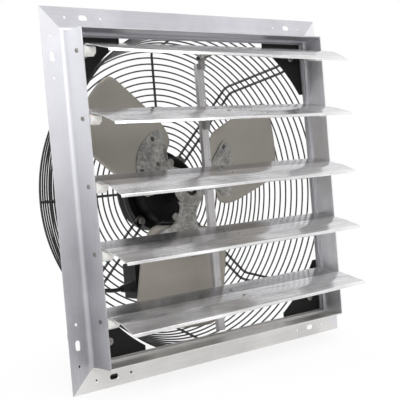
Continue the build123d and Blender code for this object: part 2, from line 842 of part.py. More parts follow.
# Support rods: a wire bent round each motor bolt and out to its corner gusset
def support_rod(degrees):
    out = radial_direction(degrees)
    across = radial_direction(degrees + 90.0)

    def place(radius, side, depth):
        return out * radius + across * (side * rod_half_gap) + Vector(0, depth, 0)

    corners = (
        (rod_flat_end, rod_flat_depth),
        (rod_flat_start, rod_flat_depth),
        (rod_cone_radius, rod_depth),
        (bolt_radius, rod_depth),
    )
    near = [place(radius, 1, depth) for radius, depth in corners]
    far = [place(radius, -1, depth) for radius, depth in reversed(corners)]
    loop_mid = out * (bolt_radius - rod_half_gap) + Vector(0, rod_depth, 0)
    with BuildPart() as rod:
        with BuildLine() as rod_line:
            FilletPolyline(*near, radius=(rod_flat_bend, rod_cone_bend))
            ThreePointArc(near[-1], loop_mid, far[0])
            FilletPolyline(*far, radius=(rod_cone_bend, rod_flat_bend))
        rod_path = rod_line.wires()[0]
        with BuildSketch(Plane(origin=rod_path @ 0, z_dir=rod_path % 0)):
            Circle(rod_diameter / 2)
        sweep(path=rod_path)
    return rod


for corner, degrees in diagonals.items():
    finish(support_rod(degrees), f"support_rod_{corner}")

# Motor bolts and nuts through the loops and the motor's ears
bolt_face = rod_depth - rod_diameter / 2 - seat_gap
bolt_places = PolarLocations(bolt_radius, len(diagonals), start_angle=diagonals["top_right"])
with BuildPart() as motor_bolts:
    with BuildSketch(front_plane(bolt_face)):
        with bolt_places:
            Circle(motor_bolt_head_diameter / 2)
    extrude(amount=motor_bolt_head_height)
    fillet(edges().group_by(Axis.Y)[0], radius=motor_bolt_head_height / 3)
    with BuildSketch(front_plane(bolt_face)):
        with bolt_places:
            Circle(motor_bolt_diameter / 2)
    extrude(amount=-(shoulder_back + motor_nut_height + 2 * seat_gap - bolt_face))
    with BuildSketch(front_plane(bolt_face - motor_bolt_head_height)):
        with bolt_places:
            Rectangle(motor_bolt_diameter, screw_slot_width)
            Rectangle(screw_slot_width, motor_bolt_diameter)
    extrude(amount=-screw_slot_depth, mode=Mode.SUBTRACT)
    with BuildSketch(front_plane(shoulder_back + seat_gap)):
        with bolt_places:
            RegularPolygon(motor_nut_width / 2, 6, major_radius=False)
            Circle(motor_bolt_diameter / 2 + seat_gap, mode=Mode.SUBTRACT)
    extrude(amount=-motor_nut_height)
finish(motor_bolts, "motor_bolts")

# Motor shell: a short can whose front shoulder carries the four ears
screw_places = PolarLocations(bell_screw_radius, spoke_count)
with BuildPart() as motor_shell:
    with BuildSketch(front_plane(shoulder_front)):
        Circle(motor_shell_radius)
        with bolt_places:
            Circle(motor_ear_radius)
        Circle(motor_shoulder_opening, mode=Mode.SUBTRACT)
        with bolt_places:
            Circle(motor_bolt_diameter / 2 + running_gap, mode=Mode.SUBTRACT)
    extrude(amount=-motor_shoulder_thickness)
    with BuildSketch(front_plane(shoulder_back)):
        Circle(motor_shell_radius)
        Circle(shell_inner_radius, mode=Mode.SUBTRACT)
    extrude(amount=-(motor_shell_length - motor_shoulder_thickness))
    with BuildSketch(front_plane(shoulder_back)):
        with bolt_places:
            Circle(motor_nut_width / 2 + motor_nut_gap)
    extrude(amount=-(motor_nut_height + motor_nut_gap), mode=Mode.SUBTRACT)
finish(motor_shell, "motor_shell")

# Front bell: a rounded cup with the front bearing's boss
bell_face_inner = front_bell_front + front_bell_wall
with BuildPart() as motor_front_bell:
    with BuildSketch(Plane.XY):
        Polygon(
            (shaft_radius + free_gap, boss_front),
            (bell_boss_radius, boss_front),
            (bell_boss_radius, front_bell_front),
            (front_bell_radius, front_bell_front),
            (front_bell_radius, shoulder_front - seat_gap),
            (front_bell_radius - front_bell_wall, shoulder_front - seat_gap),
            (front_bell_radius - front_bell_wall, bell_face_inner),
            (bell_boss_radius, bell_face_inner),
            (bell_boss_radius, boss_front + bearing_width + front_bell_wall),
            (bearing_outer_radius + seat_gap, boss_front + bearing_width + front_bell_wall),
            (bearing_outer_radius + seat_gap, boss_front + front_bell_wall),
            (shaft_radius + free_gap, boss_front + front_bell_wall),
            align=None,
        )
        outer_edge = vertices().sort_by_distance((front_bell_radius, front_bell_front))[0]
        fillet(outer_edge, radius=front_bell_round)
        inner_edge = vertices().sort_by_distance((front_bell_radius, bell_face_inner))[0]
        fillet(inner_edge, radius=front_bell_round - front_bell_wall)
    revolve(axis=Axis.Y)
    with BuildSketch(front_plane(front_bell_front)):
        with screw_places:
            Circle(bell_screw_diameter / 2 + running_gap)
    extrude(amount=front_bell_wall + cut_overrun, both=True, mode=Mode.SUBTRACT)
finish(motor_front_bell, "motor_front_bell")

# Rear bell: a stepped cover with the rear bearing's boss
rear_face_inner = rear_bell_back - front_bell_wall
rear_bearing_back = rear_boss_back - front_bell_wall
rear_bearing_front = rear_bearing_back - bearing_width
with BuildPart() as motor_rear_bell:
    with BuildSketch(Plane.XY):
        Polygon(
            (motor_shell_radius, shell_back + seat_gap),
            (motor_shell_radius, shell_back + front_bell_wall),
            (rear_bell_radius, shell_back + front_bell_wall),
            (rear_bell_radius, rear_bell_back),
            (bell_boss_radius, rear_bell_back),
            (bell_boss_radius, rear_boss_back),
            (0, rear_boss_back),
            (0, rear_bearing_back),
            (bearing_outer_radius + seat_gap, rear_bearing_back),
            (bearing_outer_radius + seat_gap, rear_bearing_front),
            (bell_boss_radius, rear_bearing_front),
            (bell_boss_radius, rear_face_inner),
            (rear_bell_radius - front_bell_wall, rear_face_inner),
            (rear_bell_radius - front_bell_wall, shell_back + seat_gap),
            align=None,
        )
        outer_edge = vertices().sort_by_distance((rear_bell_radius, rear_bell_back))[0]
        fillet(outer_edge, radius=front_bell_round / 2)
    revolve(axis=Axis.Y)
    with BuildSketch(front_plane(rear_bell_back)):
        with screw_places:
            Circle(bell_screw_diameter / 2 + running_gap)
    extrude(amount=front_bell_wall + cut_overrun, both=True, mode=Mode.SUBTRACT)
finish(motor_rear_bell, "motor_rear_bell")

# Bell screws: four from the front and four from the back, into the stator core
front_head = front_bell_front - seat_gap
rear_head = rear_bell_back + seat_gap
rear_screw_length = rear_head - stator_back + bell_screw_diameter
with BuildPart() as bell_screws:
    for face, forward in ((front_head, 1), (rear_head, -1)):
        with BuildSketch(front_plane(face)):
            with screw_places:
                Circle(bell_screw_head_diameter / 2)
        extrude(amount=forward * bell_screw_head_height)
    fillet(edges().group_by(Axis.Y)[0], radius=bell_screw_head_height / 2)
    fillet(edges().group_by(Axis.Y)[-1], radius=bell_screw_head_height / 2)
    for face, length in ((front_head, bell_screw_length), (rear_head, -rear_screw_length)):
        with BuildSketch(front_plane(face)):
            with screw_places:
                Circle(bell_screw_diameter / 2)
        extrude(amount=-length)
    with BuildSketch(front_plane(front_head - bell_screw_head_height)):
        with screw_places:
            Rectangle(bell_screw_diameter, screw_slot_width)
            Rectangle(screw_slot_width, bell_screw_diameter)
    extrude(amount=-screw_slot_depth, mode=Mode.SUBTRACT)
finish(bell_screws, "bell_screws")

# Stator core, its windings and the two bearings
with BuildPart() as stator_core:
    with BuildSketch(front_plane(stator_front)):
        Circle(shell_inner_radius - seat_gap)
        Circle(stator_inner_radius, mode=Mode.SUBTRACT)
        with screw_places:
            Circle(bell_screw_diameter / 2 + running_gap, mode=Mode.SUBTRACT)
        with bolt_places:
            Circle(motor_nut_width / 2 + 2 * motor_nut_gap, mode=Mode.SUBTRACT)
    extrude(amount=-stator_stack)
finish(stator_core, "stator_core")

with BuildPart() as stator_windings:
    for face, forward in ((stator_front - seat_gap, 1), (stator_back + seat_gap, -1)):
        with BuildSketch(front_plane(face)):
            Circle(winding_outer_radius - free_gap)
            Circle(winding_inner_radius, mode=Mode.SUBTRACT)
        extrude(amount=forward * winding_reach)
finish(stator_windings, "stator_windings")

front_bearing = boss_front + front_bell_wall + seat_gap
rear_bearing = rear_bearing_front
with BuildPart() as motor_bearings:
    for face in (front_bearing, rear_bearing):
        with BuildSketch(front_plane(face)):
            Circle(bearing_outer_radius)
            Circle(shaft_radius + seat_gap, mode=Mode.SUBTRACT)
        extrude(amount=-(bearing_width - 2 * seat_gap))
finish(motor_bearings, "motor_bearings")

# Shaft and rotor
with BuildPart() as motor_shaft:
    with BuildSketch(front_plane(shaft_front)):
        Circle(shaft_radius)
    extrude(amount=-(rear_bearing_back - free_gap - shaft_front))
    chamfer(edges().group_by(Axis.Y)[0], length=shaft_chamfer)
finish(motor_shaft, "motor_shaft")

with BuildPart() as motor_rotor:
    with BuildSketch(front_plane(stator_front)):
        Circle(stator_inner_radius - rotor_air_gap)
        Circle(shaft_radius + seat_gap, mode=Mode.SUBTRACT)
    extrude(amount=-stator_stack)
finish(motor_rotor, "motor_rotor")

# Hub: a bored sleeve with a flange behind the spider and a nose in the spider's dish
hub_flange_front = hub_face_depth + spider_sheet + seat_gap
hub_flange_back = hub_flange_front + hub_flange_thickness
hub_back = hub_flange_back + hub_sleeve_length
set_screw_place = Plane(origin=(0, set_screw_depth, 0), x_dir=(0, 1, 0), z_dir=(0, 0, 1))
with BuildPart() as fan_hub:
    with BuildSketch(Plane.XY):
        Polygon(
            (shaft_radius + seat_gap, hub_flange_front - hub_nose_length),
            (hub_nose_radius, hub_flange_front - hub_nose_length),
            (hub_nose_radius, hub_flange_front),
            (hub_flange_radius, hub_flange_front),
            (hub_flange_radius, hub_flange_back),
            (hub_sleeve_radius, hub_flange_back),
            (hub_sleeve_radius, hub_back),
            (shaft_radius + seat_gap, hub_back),
            align=None,
        )
    revolve(axis=Axis.Y)
    with BuildSketch(set_screw_place):
        Circle(set_screw_diameter / 2 + seat_gap)
    extrude(amount=hub_sleeve_radius + cut_overrun, mode=Mode.SUBTRACT)
finish(fan_hub, "fan_hub")

with BuildPart() as hub_set_screw:
    with BuildSketch(set_screw_place.offset(shaft_radius + seat_gap)):
        Circle(set_screw_diameter / 2)
    extrude(amount=set_screw_length)
    with BuildSketch(set_screw_place.offset(shaft_radius + seat_gap + set_screw_length)):
        RegularPolygon(set_screw_diameter / 4, 6)
    extrude(amount=-set_screw_diameter / 2, mode=Mode.SUBTRACT)
finish(hub_set_screw, "hub_set_screw")

# Blade section: one cambered arc across the blade, seen from the front face
blade_lead = (blade_lead_edge[0], hub_face_depth + blade_lead_edge[1])
blade_trail = (blade_trail_edge[0], hub_face_depth + blade_trail_edge[1])
chord = math.dist(blade_lead, blade_trail)
camber_radius = chord * chord / (8 * blade_camber) + blade_camber / 2
chord_mid = ((blade_lead[0] + blade_trail[0]) / 2, (blade_lead[1] + blade_trail[1]) / 2)
chord_back = (
    (blade_trail[1] - blade_lead[1]) / chord,
    (blade_lead[0] - blade_trail[0]) / chord,
)
camber_centre = (
    chord_mid[0] + chord_back[0] * (blade_camber - camber_radius),
    chord_mid[1] + chord_back[1] * (blade_camber - camber_radius),
)


def blade_depth(across):
    """Depth of the blade's front face at a place across it."""
    run = across - camber_centre[0]
    return camber_centre[1] + math.sqrt(camber_radius * camber_radius - run * run)


def blade_slope(across):
    """How fast the blade's front face goes back across it."""
    run = across - camber_centre[0]
    return -run / math.sqrt(camber_radius * camber_radius - run * run)


def arm_plane(degrees, depth):
    """The plane of a blade's outline, drawn in (out, across)."""
    out = radial_direction(degrees)
    return Plane(origin=(0, depth, 0), x_dir=out, z_dir=(0, -1, 0))


def section_plane_at(degrees, distance):
    """The plane across an arm at a distance out, drawn in (across, forward)."""
    out = radial_direction(degrees)
    across = radial_direction(degrees + 90.0)
    return Plane(origin=out * distance, x_dir=across, z_dir=out)


def cambered_section(forward, thickness):
    """Front and back points of a section, its front a step forward of the blade's."""
    places = (blade_lead[0], (blade_lead[0] + blade_trail[0]) / 2, blade_trail[0])
    front = [(across, forward - blade_depth(across)) for across in places]
    back = [(across, level - thickness) for across, level in front]
    return front, back


# Where the rivets go: on the blade's front face, square to it
def rivet_plane(degrees, place):
    out = radial_direction(degrees)
    across = radial_direction(degrees + 90.0)
    origin = out * place[0] + across * place[1] + Vector(0, blade_depth(place[1]), 0)
    slope = blade_slope(place[1])
    return Plane(origin=origin, x_dir=out, z_dir=across * slope - Vector(0, 1, 0))


def blade_place(shares):
    """A point of the blade's outline from its shares of the tip radius."""
    return (shares[0] * blade_tip_radius, shares[1] * blade_tip_radius)


blade_tip_trail = blade_place(blade_tip_trail_shares)
blade_tip_lead = blade_place(blade_tip_lead_shares)
blade_mid_trail = blade_place(blade_mid_trail_shares)
blade_mid_lead = blade_place(blade_mid_lead_shares)


def fan_blade(degrees):
    tip_middle = (blade_tip_trail[1] + blade_tip_lead[1]) / 2
    front, back = cambered_section(0, blade_sheet)
    with BuildPart() as blade:
        with BuildSketch(section_plane_at(degrees, 0)):
            with BuildLine():
                ThreePointArc(*front)
                Line(front[-1], back[-1])
                ThreePointArc(*reversed(back))
                Line(back[0], front[0])
            make_face()
        extrude(amount=blade_tip_radius + cut_overrun)
        with BuildSketch(arm_plane(degrees, 0)):
            with BuildLine():
                ThreePointArc(
                    blade_tip_trail,
                    (math.sqrt(blade_tip_radius**2 - tip_middle**2), tip_middle),
                    blade_tip_lead,
                )
                Spline(blade_tip_lead, blade_mid_lead, blade_root_lead)
                Line(blade_root_lead, blade_root_toe)
                Line(blade_root_toe, blade_root_heel)
                Line(blade_root_heel, blade_root_trail)
                ThreePointArc(blade_root_trail, blade_shoulder, blade_mid_trail)
                Line(blade_mid_trail, blade_tip_trail)
            make_face()
            tip_corners = (blade_tip_trail, blade_tip_lead)
            tips = [vertices().sort_by_distance(tip)[0] for tip in tip_corners]
            fillet(tips, radius=blade_corner_radius)
            roots = [
                vertices().sort_by_distance(root)[0] for root in (blade_root_lead, blade_root_toe)
            ]
            fillet(roots, radius=blade_root_round)
        extrude(amount=blade_tip_radius, both=True, mode=Mode.INTERSECT)
        for place in blade_rivets:
            with BuildSketch(rivet_plane(degrees, place)):
                Circle(blade_rivet_diameter / 2 + running_gap)
            extrude(amount=blade_rivet_head_diameter, both=True, mode=Mode.SUBTRACT)
    return blade


for index, degrees in enumerate(blade_directions, start=1):
    finish(fan_blade(degrees), f"fan_blade_{index}")


# Spider: a dished centre with three twisted necks and lobes that back the blade roots
def spider_lobe(degrees):
    front, back = cambered_section(spider_sheet + seat_gap, spider_sheet)
    with BuildPart() as lobe:
        with BuildSketch(section_plane_at(degrees, neck_end)):
            with BuildLine():
                ThreePointArc(*front)
                Line(front[-1], back[-1])
                ThreePointArc(*reversed(back))
                Line(back[0], front[0])
            make_face()
        extrude(amount=blade_tip_radius / 2)
        with BuildSketch(arm_plane(degrees, 0)):
            Polygon(
                (neck_end, neck_left),
                lobe_left_flare,
                lobe_left_corner,
                lobe_tip_left,
                lobe_tip_right,
                lobe_front_corner,
                lobe_front_waist,
                lobe_right_flare,
                (neck_end, neck_right),
                align=None,
            )
            rounded = [
                vertices().sort_by_distance(corner)[0]
                for corner in (
                    lobe_left_flare,
                    lobe_left_corner,
                    lobe_tip_left,
                    lobe_tip_right,
                    lobe_front_waist,
                    lobe_right_flare,
                )
            ]
            fillet(rounded, radius=lobe_round)
        extrude(amount=blade_tip_radius, both=True, mode=Mode.INTERSECT)
        for place in blade_rivets:
            with BuildSketch(rivet_plane(degrees, place)):
                Circle(blade_rivet_diameter / 2 + running_gap)
            extrude(amount=blade_rivet_head_diameter, both=True, mode=Mode.SUBTRACT)
    return lobe


spider_lobes = [spider_lobe(degrees) for degrees in blade_directions]
with BuildPart() as fan_spider:
    with BuildSketch(Plane.XY):
        Polygon(
            (dish_mouth_radius, dish_lip_depth),
            (dish_lip_radius, dish_lip_depth),
            (dish_foot_radius, hub_face_depth),
            (dish_rim_radius, hub_face_depth),
            (dish_rim_radius, hub_face_depth + spider_sheet),
            (dish_foot_radius - spider_sheet / 2, hub_face_depth + spider_sheet),
            (dish_lip_radius - spider_sheet / 2, dish_lip_depth + spider_sheet),
            (dish_mouth_radius, dish_lip_depth + spider_sheet),
            align=None,
        )
    revolve(axis=Axis.Y)
    for degrees in blade_directions:
        flat_left = (neck_left, -hub_face_depth)
        flat_right = (neck_right, -hub_face_depth)
        end_left = (neck_left, spider_sheet + seat_gap - blade_depth(neck_left))
        end_right = (neck_right, spider_sheet + seat_gap - blade_depth(neck_right))
        neck_sections = (
            (dish_foot_radius, flat_left, flat_right),
            (neck_end, end_left, end_right),
        )
        for distance, left, right in neck_sections:
            with BuildSketch(section_plane_at(degrees, distance)):
                Polygon(
                    left,
                    right,
                    (right[0], right[1] - spider_sheet),
                    (left[0], left[1] - spider_sheet),
                    align=None,
                )
        loft(ruled=True)
    add([lobe.part for lobe in spider_lobes])
finish(fan_spider, "fan_spider")

# Blade rivets, headed on both faces
with BuildPart() as blade_rivet_set:
    for degrees in blade_directions:
        for place in blade_rivets:
            seat = rivet_plane(degrees, place)
            tilt_share = 1 / math.hypot(1, blade_slope(place[1]))
            front_step = (spider_sheet + seat_gap) * tilt_share + seat_gap
            back_step = blade_sheet * tilt_share + 2 * seat_gap
            with BuildSketch(seat.offset(front_step)):
                Circle(blade_rivet_head_diameter / 2)
            extrude(amount=blade_rivet_head_height)
            with BuildSketch(seat.offset(front_step)):
                Circle(blade_rivet_diameter / 2)
            extrude(amount=-(front_step + back_step))
            with BuildSketch(seat.offset(-back_step)):
                Circle(blade_rivet_head_diameter / 2)
            extrude(amount=-blade_rivet_head_height)
finish(blade_rivet_set, "blade_rivets")

# Junction box: an open cup whose back rests on the guard rings
cover_screws_at = [
    (junction_left + cover_screw_inset, cover_screw_level),
    (junction_left + junction_width - cover_screw_inset, cover_screw_level),
]
with BuildPart() as junction_box:
    with BuildSketch(front_plane(cover_back + seat_gap)):
        with Locations(junction_centre):
            RectangleRounded(junction_width, junction_height, junction_round)
    extrude(amount=-(junction_back - cover_back - seat_gap))
    with BuildSketch(front_plane(cover_back + seat_gap)):
        with Locations(junction_centre):
            RectangleRounded(
                junction_width - 2 * junction_wall,
                junction_height - 2 * junction_wall,
                junction_round - junction_wall,
            )
    extrude(
        amount=-(junction_back - cover_back - seat_gap - junction_wall), mode=Mode.SUBTRACT
    )
    with BuildSketch(front_plane(junction_back)):
        with Locations(*cover_screws_at):
            Circle(cover_post_diameter / 2)
    extrude(amount=junction_back - cover_back - seat_gap)
    with BuildSketch(front_plane(cover_back + seat_gap)):
        with Locations(*cover_screws_at):
            Circle(cover_screw_diameter / 2 + seat_gap)
    extrude(amount=-(junction_back - cover_back - 2 * junction_wall), mode=Mode.SUBTRACT)
finish(junction_box, "junction_box")

with BuildPart() as junction_cover:
    with BuildSketch(front_plane(cover_back)):
        with Locations(junction_centre):
            RectangleRounded(junction_width, junction_height, junction_round)
        with Locations(*cover_screws_at):
            Circle(cover_screw_diameter / 2 + running_gap, mode=Mode.SUBTRACT)
    extrude(amount=junction_cover_thickness)
finish(junction_cover, "junction_cover")

with BuildPart() as cover_screws:
    with BuildSketch(front_plane(junction_front - seat_gap)):
        with Locations(*cover_screws_at):
            Circle(cover_screw_head_diameter / 2)
    extrude(amount=cover_screw_head_height)
    fillet(edges().group_by(Axis.Y)[0], radius=cover_screw_head_height / 2)
    with BuildSketch(front_plane(junction_front - seat_gap)):
        with Locations(*cover_screws_at):
            Circle(cover_screw_diameter / 2)
    extrude(amount=-(junction_cover_thickness + cover_post_diameter))
    with BuildSketch(front_plane(junction_front - seat_gap - cover_screw_head_height)):
        with Locations(*cover_screws_at):
            Rectangle(cover_screw_diameter, screw_slot_width)
    extrude(amount=-screw_slot_depth, mode=Mode.SUBTRACT)
finish(cover_screws, "cover_screws")

# Capacitor, standing in the box between the screw posts
capacitor_foot = junction_bottom + junction_wall + seat_gap
capacitor_depth = (cover_back + junction_back) / 2
with BuildPart() as capacitor:
    with BuildSketch(Plane.XY.offset(capacitor_foot)):
        with Locations((junction_centre[0], capacitor_depth)):
            Circle(capacitor_radius)
    extrude(amount=capacitor_length)
    fillet(edges().group_by(Axis.Z)[-1], radius=junction_wall)
finish(capacitor, "capacitor")

# Cord gland: a tapered bush on the box's left side
with BuildPart() as cord_gland:
    gland_base = Plane(
        origin=(junction_left - seat_gap, gland_depth, gland_level), z_dir=(-1, 0, 0)
    )
    with BuildSketch(gland_base):
        Circle(gland_root_radius)
    with BuildSketch(gland_base.offset(gland_length - seat_gap)):
        Circle(gland_tip_radius)
    loft()
finish(cord_gland, "cord_gland")


# Cords: straight runs with arcs as large as the runs allow
def arc_radii(route, radius_share):
    points = [Vector(*point) for point in route]
    radii = []
    for before, here, after in zip(points, points[1:], points[2:]):
        turn = (here - before).get_angle(after - here)
        shorter = min((here - before).length, (after - here).length)
        radii.append(radius_share * shorter / math.tan(math.radians(turn / 2)))
    return radii


def tube(route, radius_share, diameter):
    radii = arc_radii(route, radius_share)
    with BuildPart() as piece:
        with BuildLine() as centre_line:
            FilletPolyline(*route, radius=radii)
        path = centre_line.wires()[0]
        with BuildSketch(Plane(origin=path @ 0, z_dir=path % 0)):
            Circle(diameter / 2)
        sweep(path=path)
    section = math.pi * diameter * diameter / 4
    print("arc radii", [round(radius, 1) for radius in radii])
    print("tube volume", round(piece.part.volume), "section x length", round(section * path.length))
    return piece, path


lead_way = radial_direction(lead_direction)
lead_start_depth = guard_face_depth - lead_start_setback
lead_end_depth = guard_face_depth - lead_end_setback
lead_start = lead_way * (front_bell_radius + lead_bell_gap)
lead_bend = lead_way * (front_bell_radius + lead_reach)
lead_route = (
    (lead_start.X, lead_start_depth, lead_start.Z),
    (lead_bend.X, lead_start_depth, lead_bend.Z),
    (junction_left + lead_bend_inset, lead_end_depth, junction_top + lead_box_rise),
    (junction_left + lead_end_inset, lead_end_depth, junction_top + lead_box_gap),
)
motor_lead, lead_path = tube(lead_route, lead_radius_share, lead_diameter)
finish(motor_lead, "motor_lead")
cord_tube, cord_path = tube(cord_route, cord_radius_share, cord_diameter)
finish(cord_tube, "cord_tube")

# Cord coil: spirals in below and out above, climbing in the half turn where it reverses
coil_start = Vector(*cord_route[-1])
coil_entry = coil_start + Vector(0, -cord_diameter, 0)
coil_centre = coil_entry + Vector(coil_outer_radius, 0, 0)


def coil_knot(step):
    """Place and direction of the cord after a number of half turns."""
    inward = min(step, coil_half_turns)
    outward = max(step - coil_half_turns - 1, 0)
    radius = coil_outer_radius - coil_pitch / 2 * (inward - outward)
    rise = coil_layer_rise if step > coil_half_turns else 0.0
    angle = math.radians(180.0 + 180.0 * step)
    out = Vector(math.cos(angle), math.sin(angle), 0)
    place = coil_centre + out * radius + Vector(0, 0, rise)
    return place, Vector(-out.Y, out.X, 0)


def biarc(start, start_way, end, end_way):
    """Two arcs that leave one knot and reach the next in the knots' directions."""
    gap = end - start
    ways = start_way + end_way
    across = gap.dot(ways)
    square = 2 * (1 - start_way.dot(end_way))
    reach = (-across + math.sqrt(across * across + square * gap.dot(gap))) / square
    first_control = start + start_way * reach
    last_control = end - end_way * reach
    joint = (first_control + last_control) / 2
    TangentArc(start, joint, tangent=start_way)
    TangentArc(joint, end, tangent=last_control - first_control)


coil_steps = 2 * coil_half_turns + 1
coil_knots = [coil_knot(step) for step in range(coil_steps + 1)]
coil_exit = coil_knots[-1][0] + coil_knots[-1][1] * coil_exit_run
with BuildPart() as cord_coil:
    with BuildLine() as coil_line:
        Line(coil_start, coil_entry)
        for (start, start_way), (end, end_way) in zip(coil_knots, coil_knots[1:]):
            biarc(start, start_way, end, end_way)
        Line(coil_knots[-1][0], coil_exit)
    coil_path = coil_line.wires()[0]
    with BuildSketch(Plane(origin=coil_path @ 0, z_dir=coil_path % 0)):
        Circle(cord_radius)
    sweep(path=coil_path)
finish(cord_coil, "cord_coil")


def least_gap(path, diameter, samples):
    """The least gap between turns, measured on points along the centre line."""
    points = [path @ (index / samples) for index in range(samples + 1)]
    apart = math.ceil(3 * diameter * samples / path.length)
    least = min(
        (points[first] - points[second]).length
        for first in range(len(points))
        for second in range(first + apart, len(points))
    )
    return least - diameter


print("coil length", round(coil_path.length), "coil end", coil_exit)
print("least gap in the coil", round(least_gap(coil_path, cord_diameter, 500), 2))
coil_section = math.pi * cord_radius * cord_radius
print("coil volume", round(cord_coil.part.volume), round(coil_section * coil_path.length))

# Plug: a moulded body on the coil's end, with two flat prongs and a ground pin
plug_way = coil_knots[-1][1]
plug_neck_plane = Plane(origin=coil_exit + plug_way * seat_gap, x_dir=(1, 0, 0), z_dir=plug_way)
plug_face = plug_neck_length + plug_length
with BuildPart() as cord_plug:
    with BuildSketch(plug_neck_plane):
        Circle(cord_radius + plug_neck_wall)
    with BuildSketch(plug_neck_plane.offset(plug_neck_length)):
        RectangleRounded(plug_width, plug_height, plug_round)
    loft()
    with BuildSketch(plug_neck_plane.offset(plug_neck_length)):
        RectangleRounded(plug_width, plug_height, plug_round)
    extrude(amount=plug_length)
finish(cord_plug, "cord_plug")

with BuildPart() as plug_prongs:
    with BuildSketch(plug_neck_plane.offset(plug_face + seat_gap)):
        with GridLocations(prong_spread, 0, 2, 1):
            Rectangle(prong_thickness, prong_width)
    extrude(amount=prong_length)
    with BuildSketch(plug_neck_plane.offset(plug_face + seat_gap)):
        with Locations((0, ground_pin_drop)):
            Circle(ground_pin_diameter / 2)
    extrude(amount=prong_length)
finish(plug_prongs, "plug_prongs")
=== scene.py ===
"""Shutter exhaust fan: cord, formed sheet and wire pieces, finishes, studio and camera.

Lengths are in millimetres up to the point where a mesh is made, and angles in degrees.
Material scales, the camera and the lamps are in metres.
+X is right, +Y goes back into the wall and +Z is up, from the fan's centre on the flange.
"""

import math

import bmesh
import bpy
import numpy as np
from mathutils import Matrix, Vector


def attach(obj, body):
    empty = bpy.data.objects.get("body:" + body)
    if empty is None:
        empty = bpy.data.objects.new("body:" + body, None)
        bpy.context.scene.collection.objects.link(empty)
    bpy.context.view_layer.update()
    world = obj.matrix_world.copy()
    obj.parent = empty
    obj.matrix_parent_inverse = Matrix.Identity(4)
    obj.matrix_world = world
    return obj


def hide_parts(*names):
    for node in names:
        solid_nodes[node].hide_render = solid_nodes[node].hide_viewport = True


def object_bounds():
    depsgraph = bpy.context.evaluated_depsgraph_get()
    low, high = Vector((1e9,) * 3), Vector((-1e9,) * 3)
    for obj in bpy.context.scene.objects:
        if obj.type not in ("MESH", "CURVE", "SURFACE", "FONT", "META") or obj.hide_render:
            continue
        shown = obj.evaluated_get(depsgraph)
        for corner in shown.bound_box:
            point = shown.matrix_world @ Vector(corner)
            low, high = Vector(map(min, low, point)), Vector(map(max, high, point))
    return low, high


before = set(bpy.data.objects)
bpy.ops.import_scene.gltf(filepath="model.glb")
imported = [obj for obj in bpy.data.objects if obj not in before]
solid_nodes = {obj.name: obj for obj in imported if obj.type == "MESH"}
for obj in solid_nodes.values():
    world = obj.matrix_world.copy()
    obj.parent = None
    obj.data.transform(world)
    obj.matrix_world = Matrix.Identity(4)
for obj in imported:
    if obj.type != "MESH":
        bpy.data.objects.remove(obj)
cad_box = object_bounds()

METRE = 0.001
TO_BACK = np.array([0.0, 1.0, 0.0])
UPWARD = np.array([0.0, 0.0, 1.0])
RIGHTWARD = np.array([1.0, 0.0, 0.0])

# The camera stands to the left of the fan, level with its middle
CAMERA_PLACE = (-1.007018, -1.223583, 0.028993)
camera_data = bpy.data.cameras.new("studio_camera")
camera_data.lens = 79.347
camera_data.sensor_width = 36.0
camera_data.clip_end = 60.0
studio_camera = bpy.data.objects.new("studio_camera", camera_data)
camera_right = Vector((0.7736860, -0.6279452, -0.0842305))
camera_up = Vector((0.0853963, -0.0283764, 0.9959429))
camera_view = Vector((0.6277878, 0.7777400, -0.0316698))
camera_turn = Matrix((camera_right, camera_up, -camera_view)).transposed()
studio_camera.matrix_world = Matrix.Translation(CAMERA_PLACE) @ camera_turn.to_4x4()
bpy.context.scene.collection.objects.link(studio_camera)
bpy.context.scene.camera = studio_camera

# Sizes shared with the solid model
LOUVRE_PIVOTS = [234.57 - 107.14 * step for step in range(5)]
PIVOT_DEPTH = -36.0
BLADE_DIRECTIONS = (150.0, 30.0, 270.0)


def linear(code):
    """An sRGB hex colour as linear red, green, blue and a full alpha."""
    channels = np.array([int(code[start : start + 2], 16) for start in (1, 3, 5)]) / 255
    curved = ((channels + 0.055) / 1.055) ** 2.4
    return (*np.where(channels <= 0.04045, channels / 12.92, curved), 1.0)


def add(tree, kind, inputs=None, **settings):
    """Add a node, set its properties, and fill or link its inputs."""
    made = tree.nodes.new(kind)
    for name, value in settings.items():
        setattr(made, name, value)
    for name, value in (inputs or {}).items():
        socket = made.inputs[name]
        if isinstance(value, bpy.types.NodeSocket):
            tree.links.new(value, socket)
        else:
            socket.default_value = value
    return made


def new_material(name):
    """A material with an empty tree: the tree, its shader and its object coordinates."""
    material = bpy.data.materials.new(name)
    material.use_nodes = True
    tree = material.node_tree
    tree.nodes.clear()
    shader = add(tree, "ShaderNodeBsdfPrincipled")
    add(tree, "ShaderNodeOutputMaterial", {"Surface": shader.outputs["BSDF"]})
    place = add(tree, "ShaderNodeTexCoord").outputs["Object"]
    return material, tree, shader, place


def tones(tree, amount, stops):
    """Colours picked along a ramp by an amount from 0 to 1."""
    ramp = add(tree, "ShaderNodeValToRGB", {"Fac": amount})
    marks = ramp.color_ramp.elements
    marks[0].position, marks[0].color = stops[0][0], linear(stops[0][1])
    marks[1].position, marks[1].color = stops[-1][0], linear(stops[-1][1])
    for position, code in stops[1:-1]:
        marks.new(position).color = linear(code)
    return ramp.outputs["Color"]


def layered(tree, first, weight, second, low, high):
    """A weighted texture laid over another: their sum, and the sum spread from 0 to 1."""
    total = add(
        tree, "ShaderNodeMath", {0: first, 1: weight, 2: second}, operation="MULTIPLY_ADD"
    ).outputs["Value"]
    spread = add(tree, "ShaderNodeMapRange", {"Value": total, "From Min": low, "From Max": high})
    return total, spread.outputs["Result"]


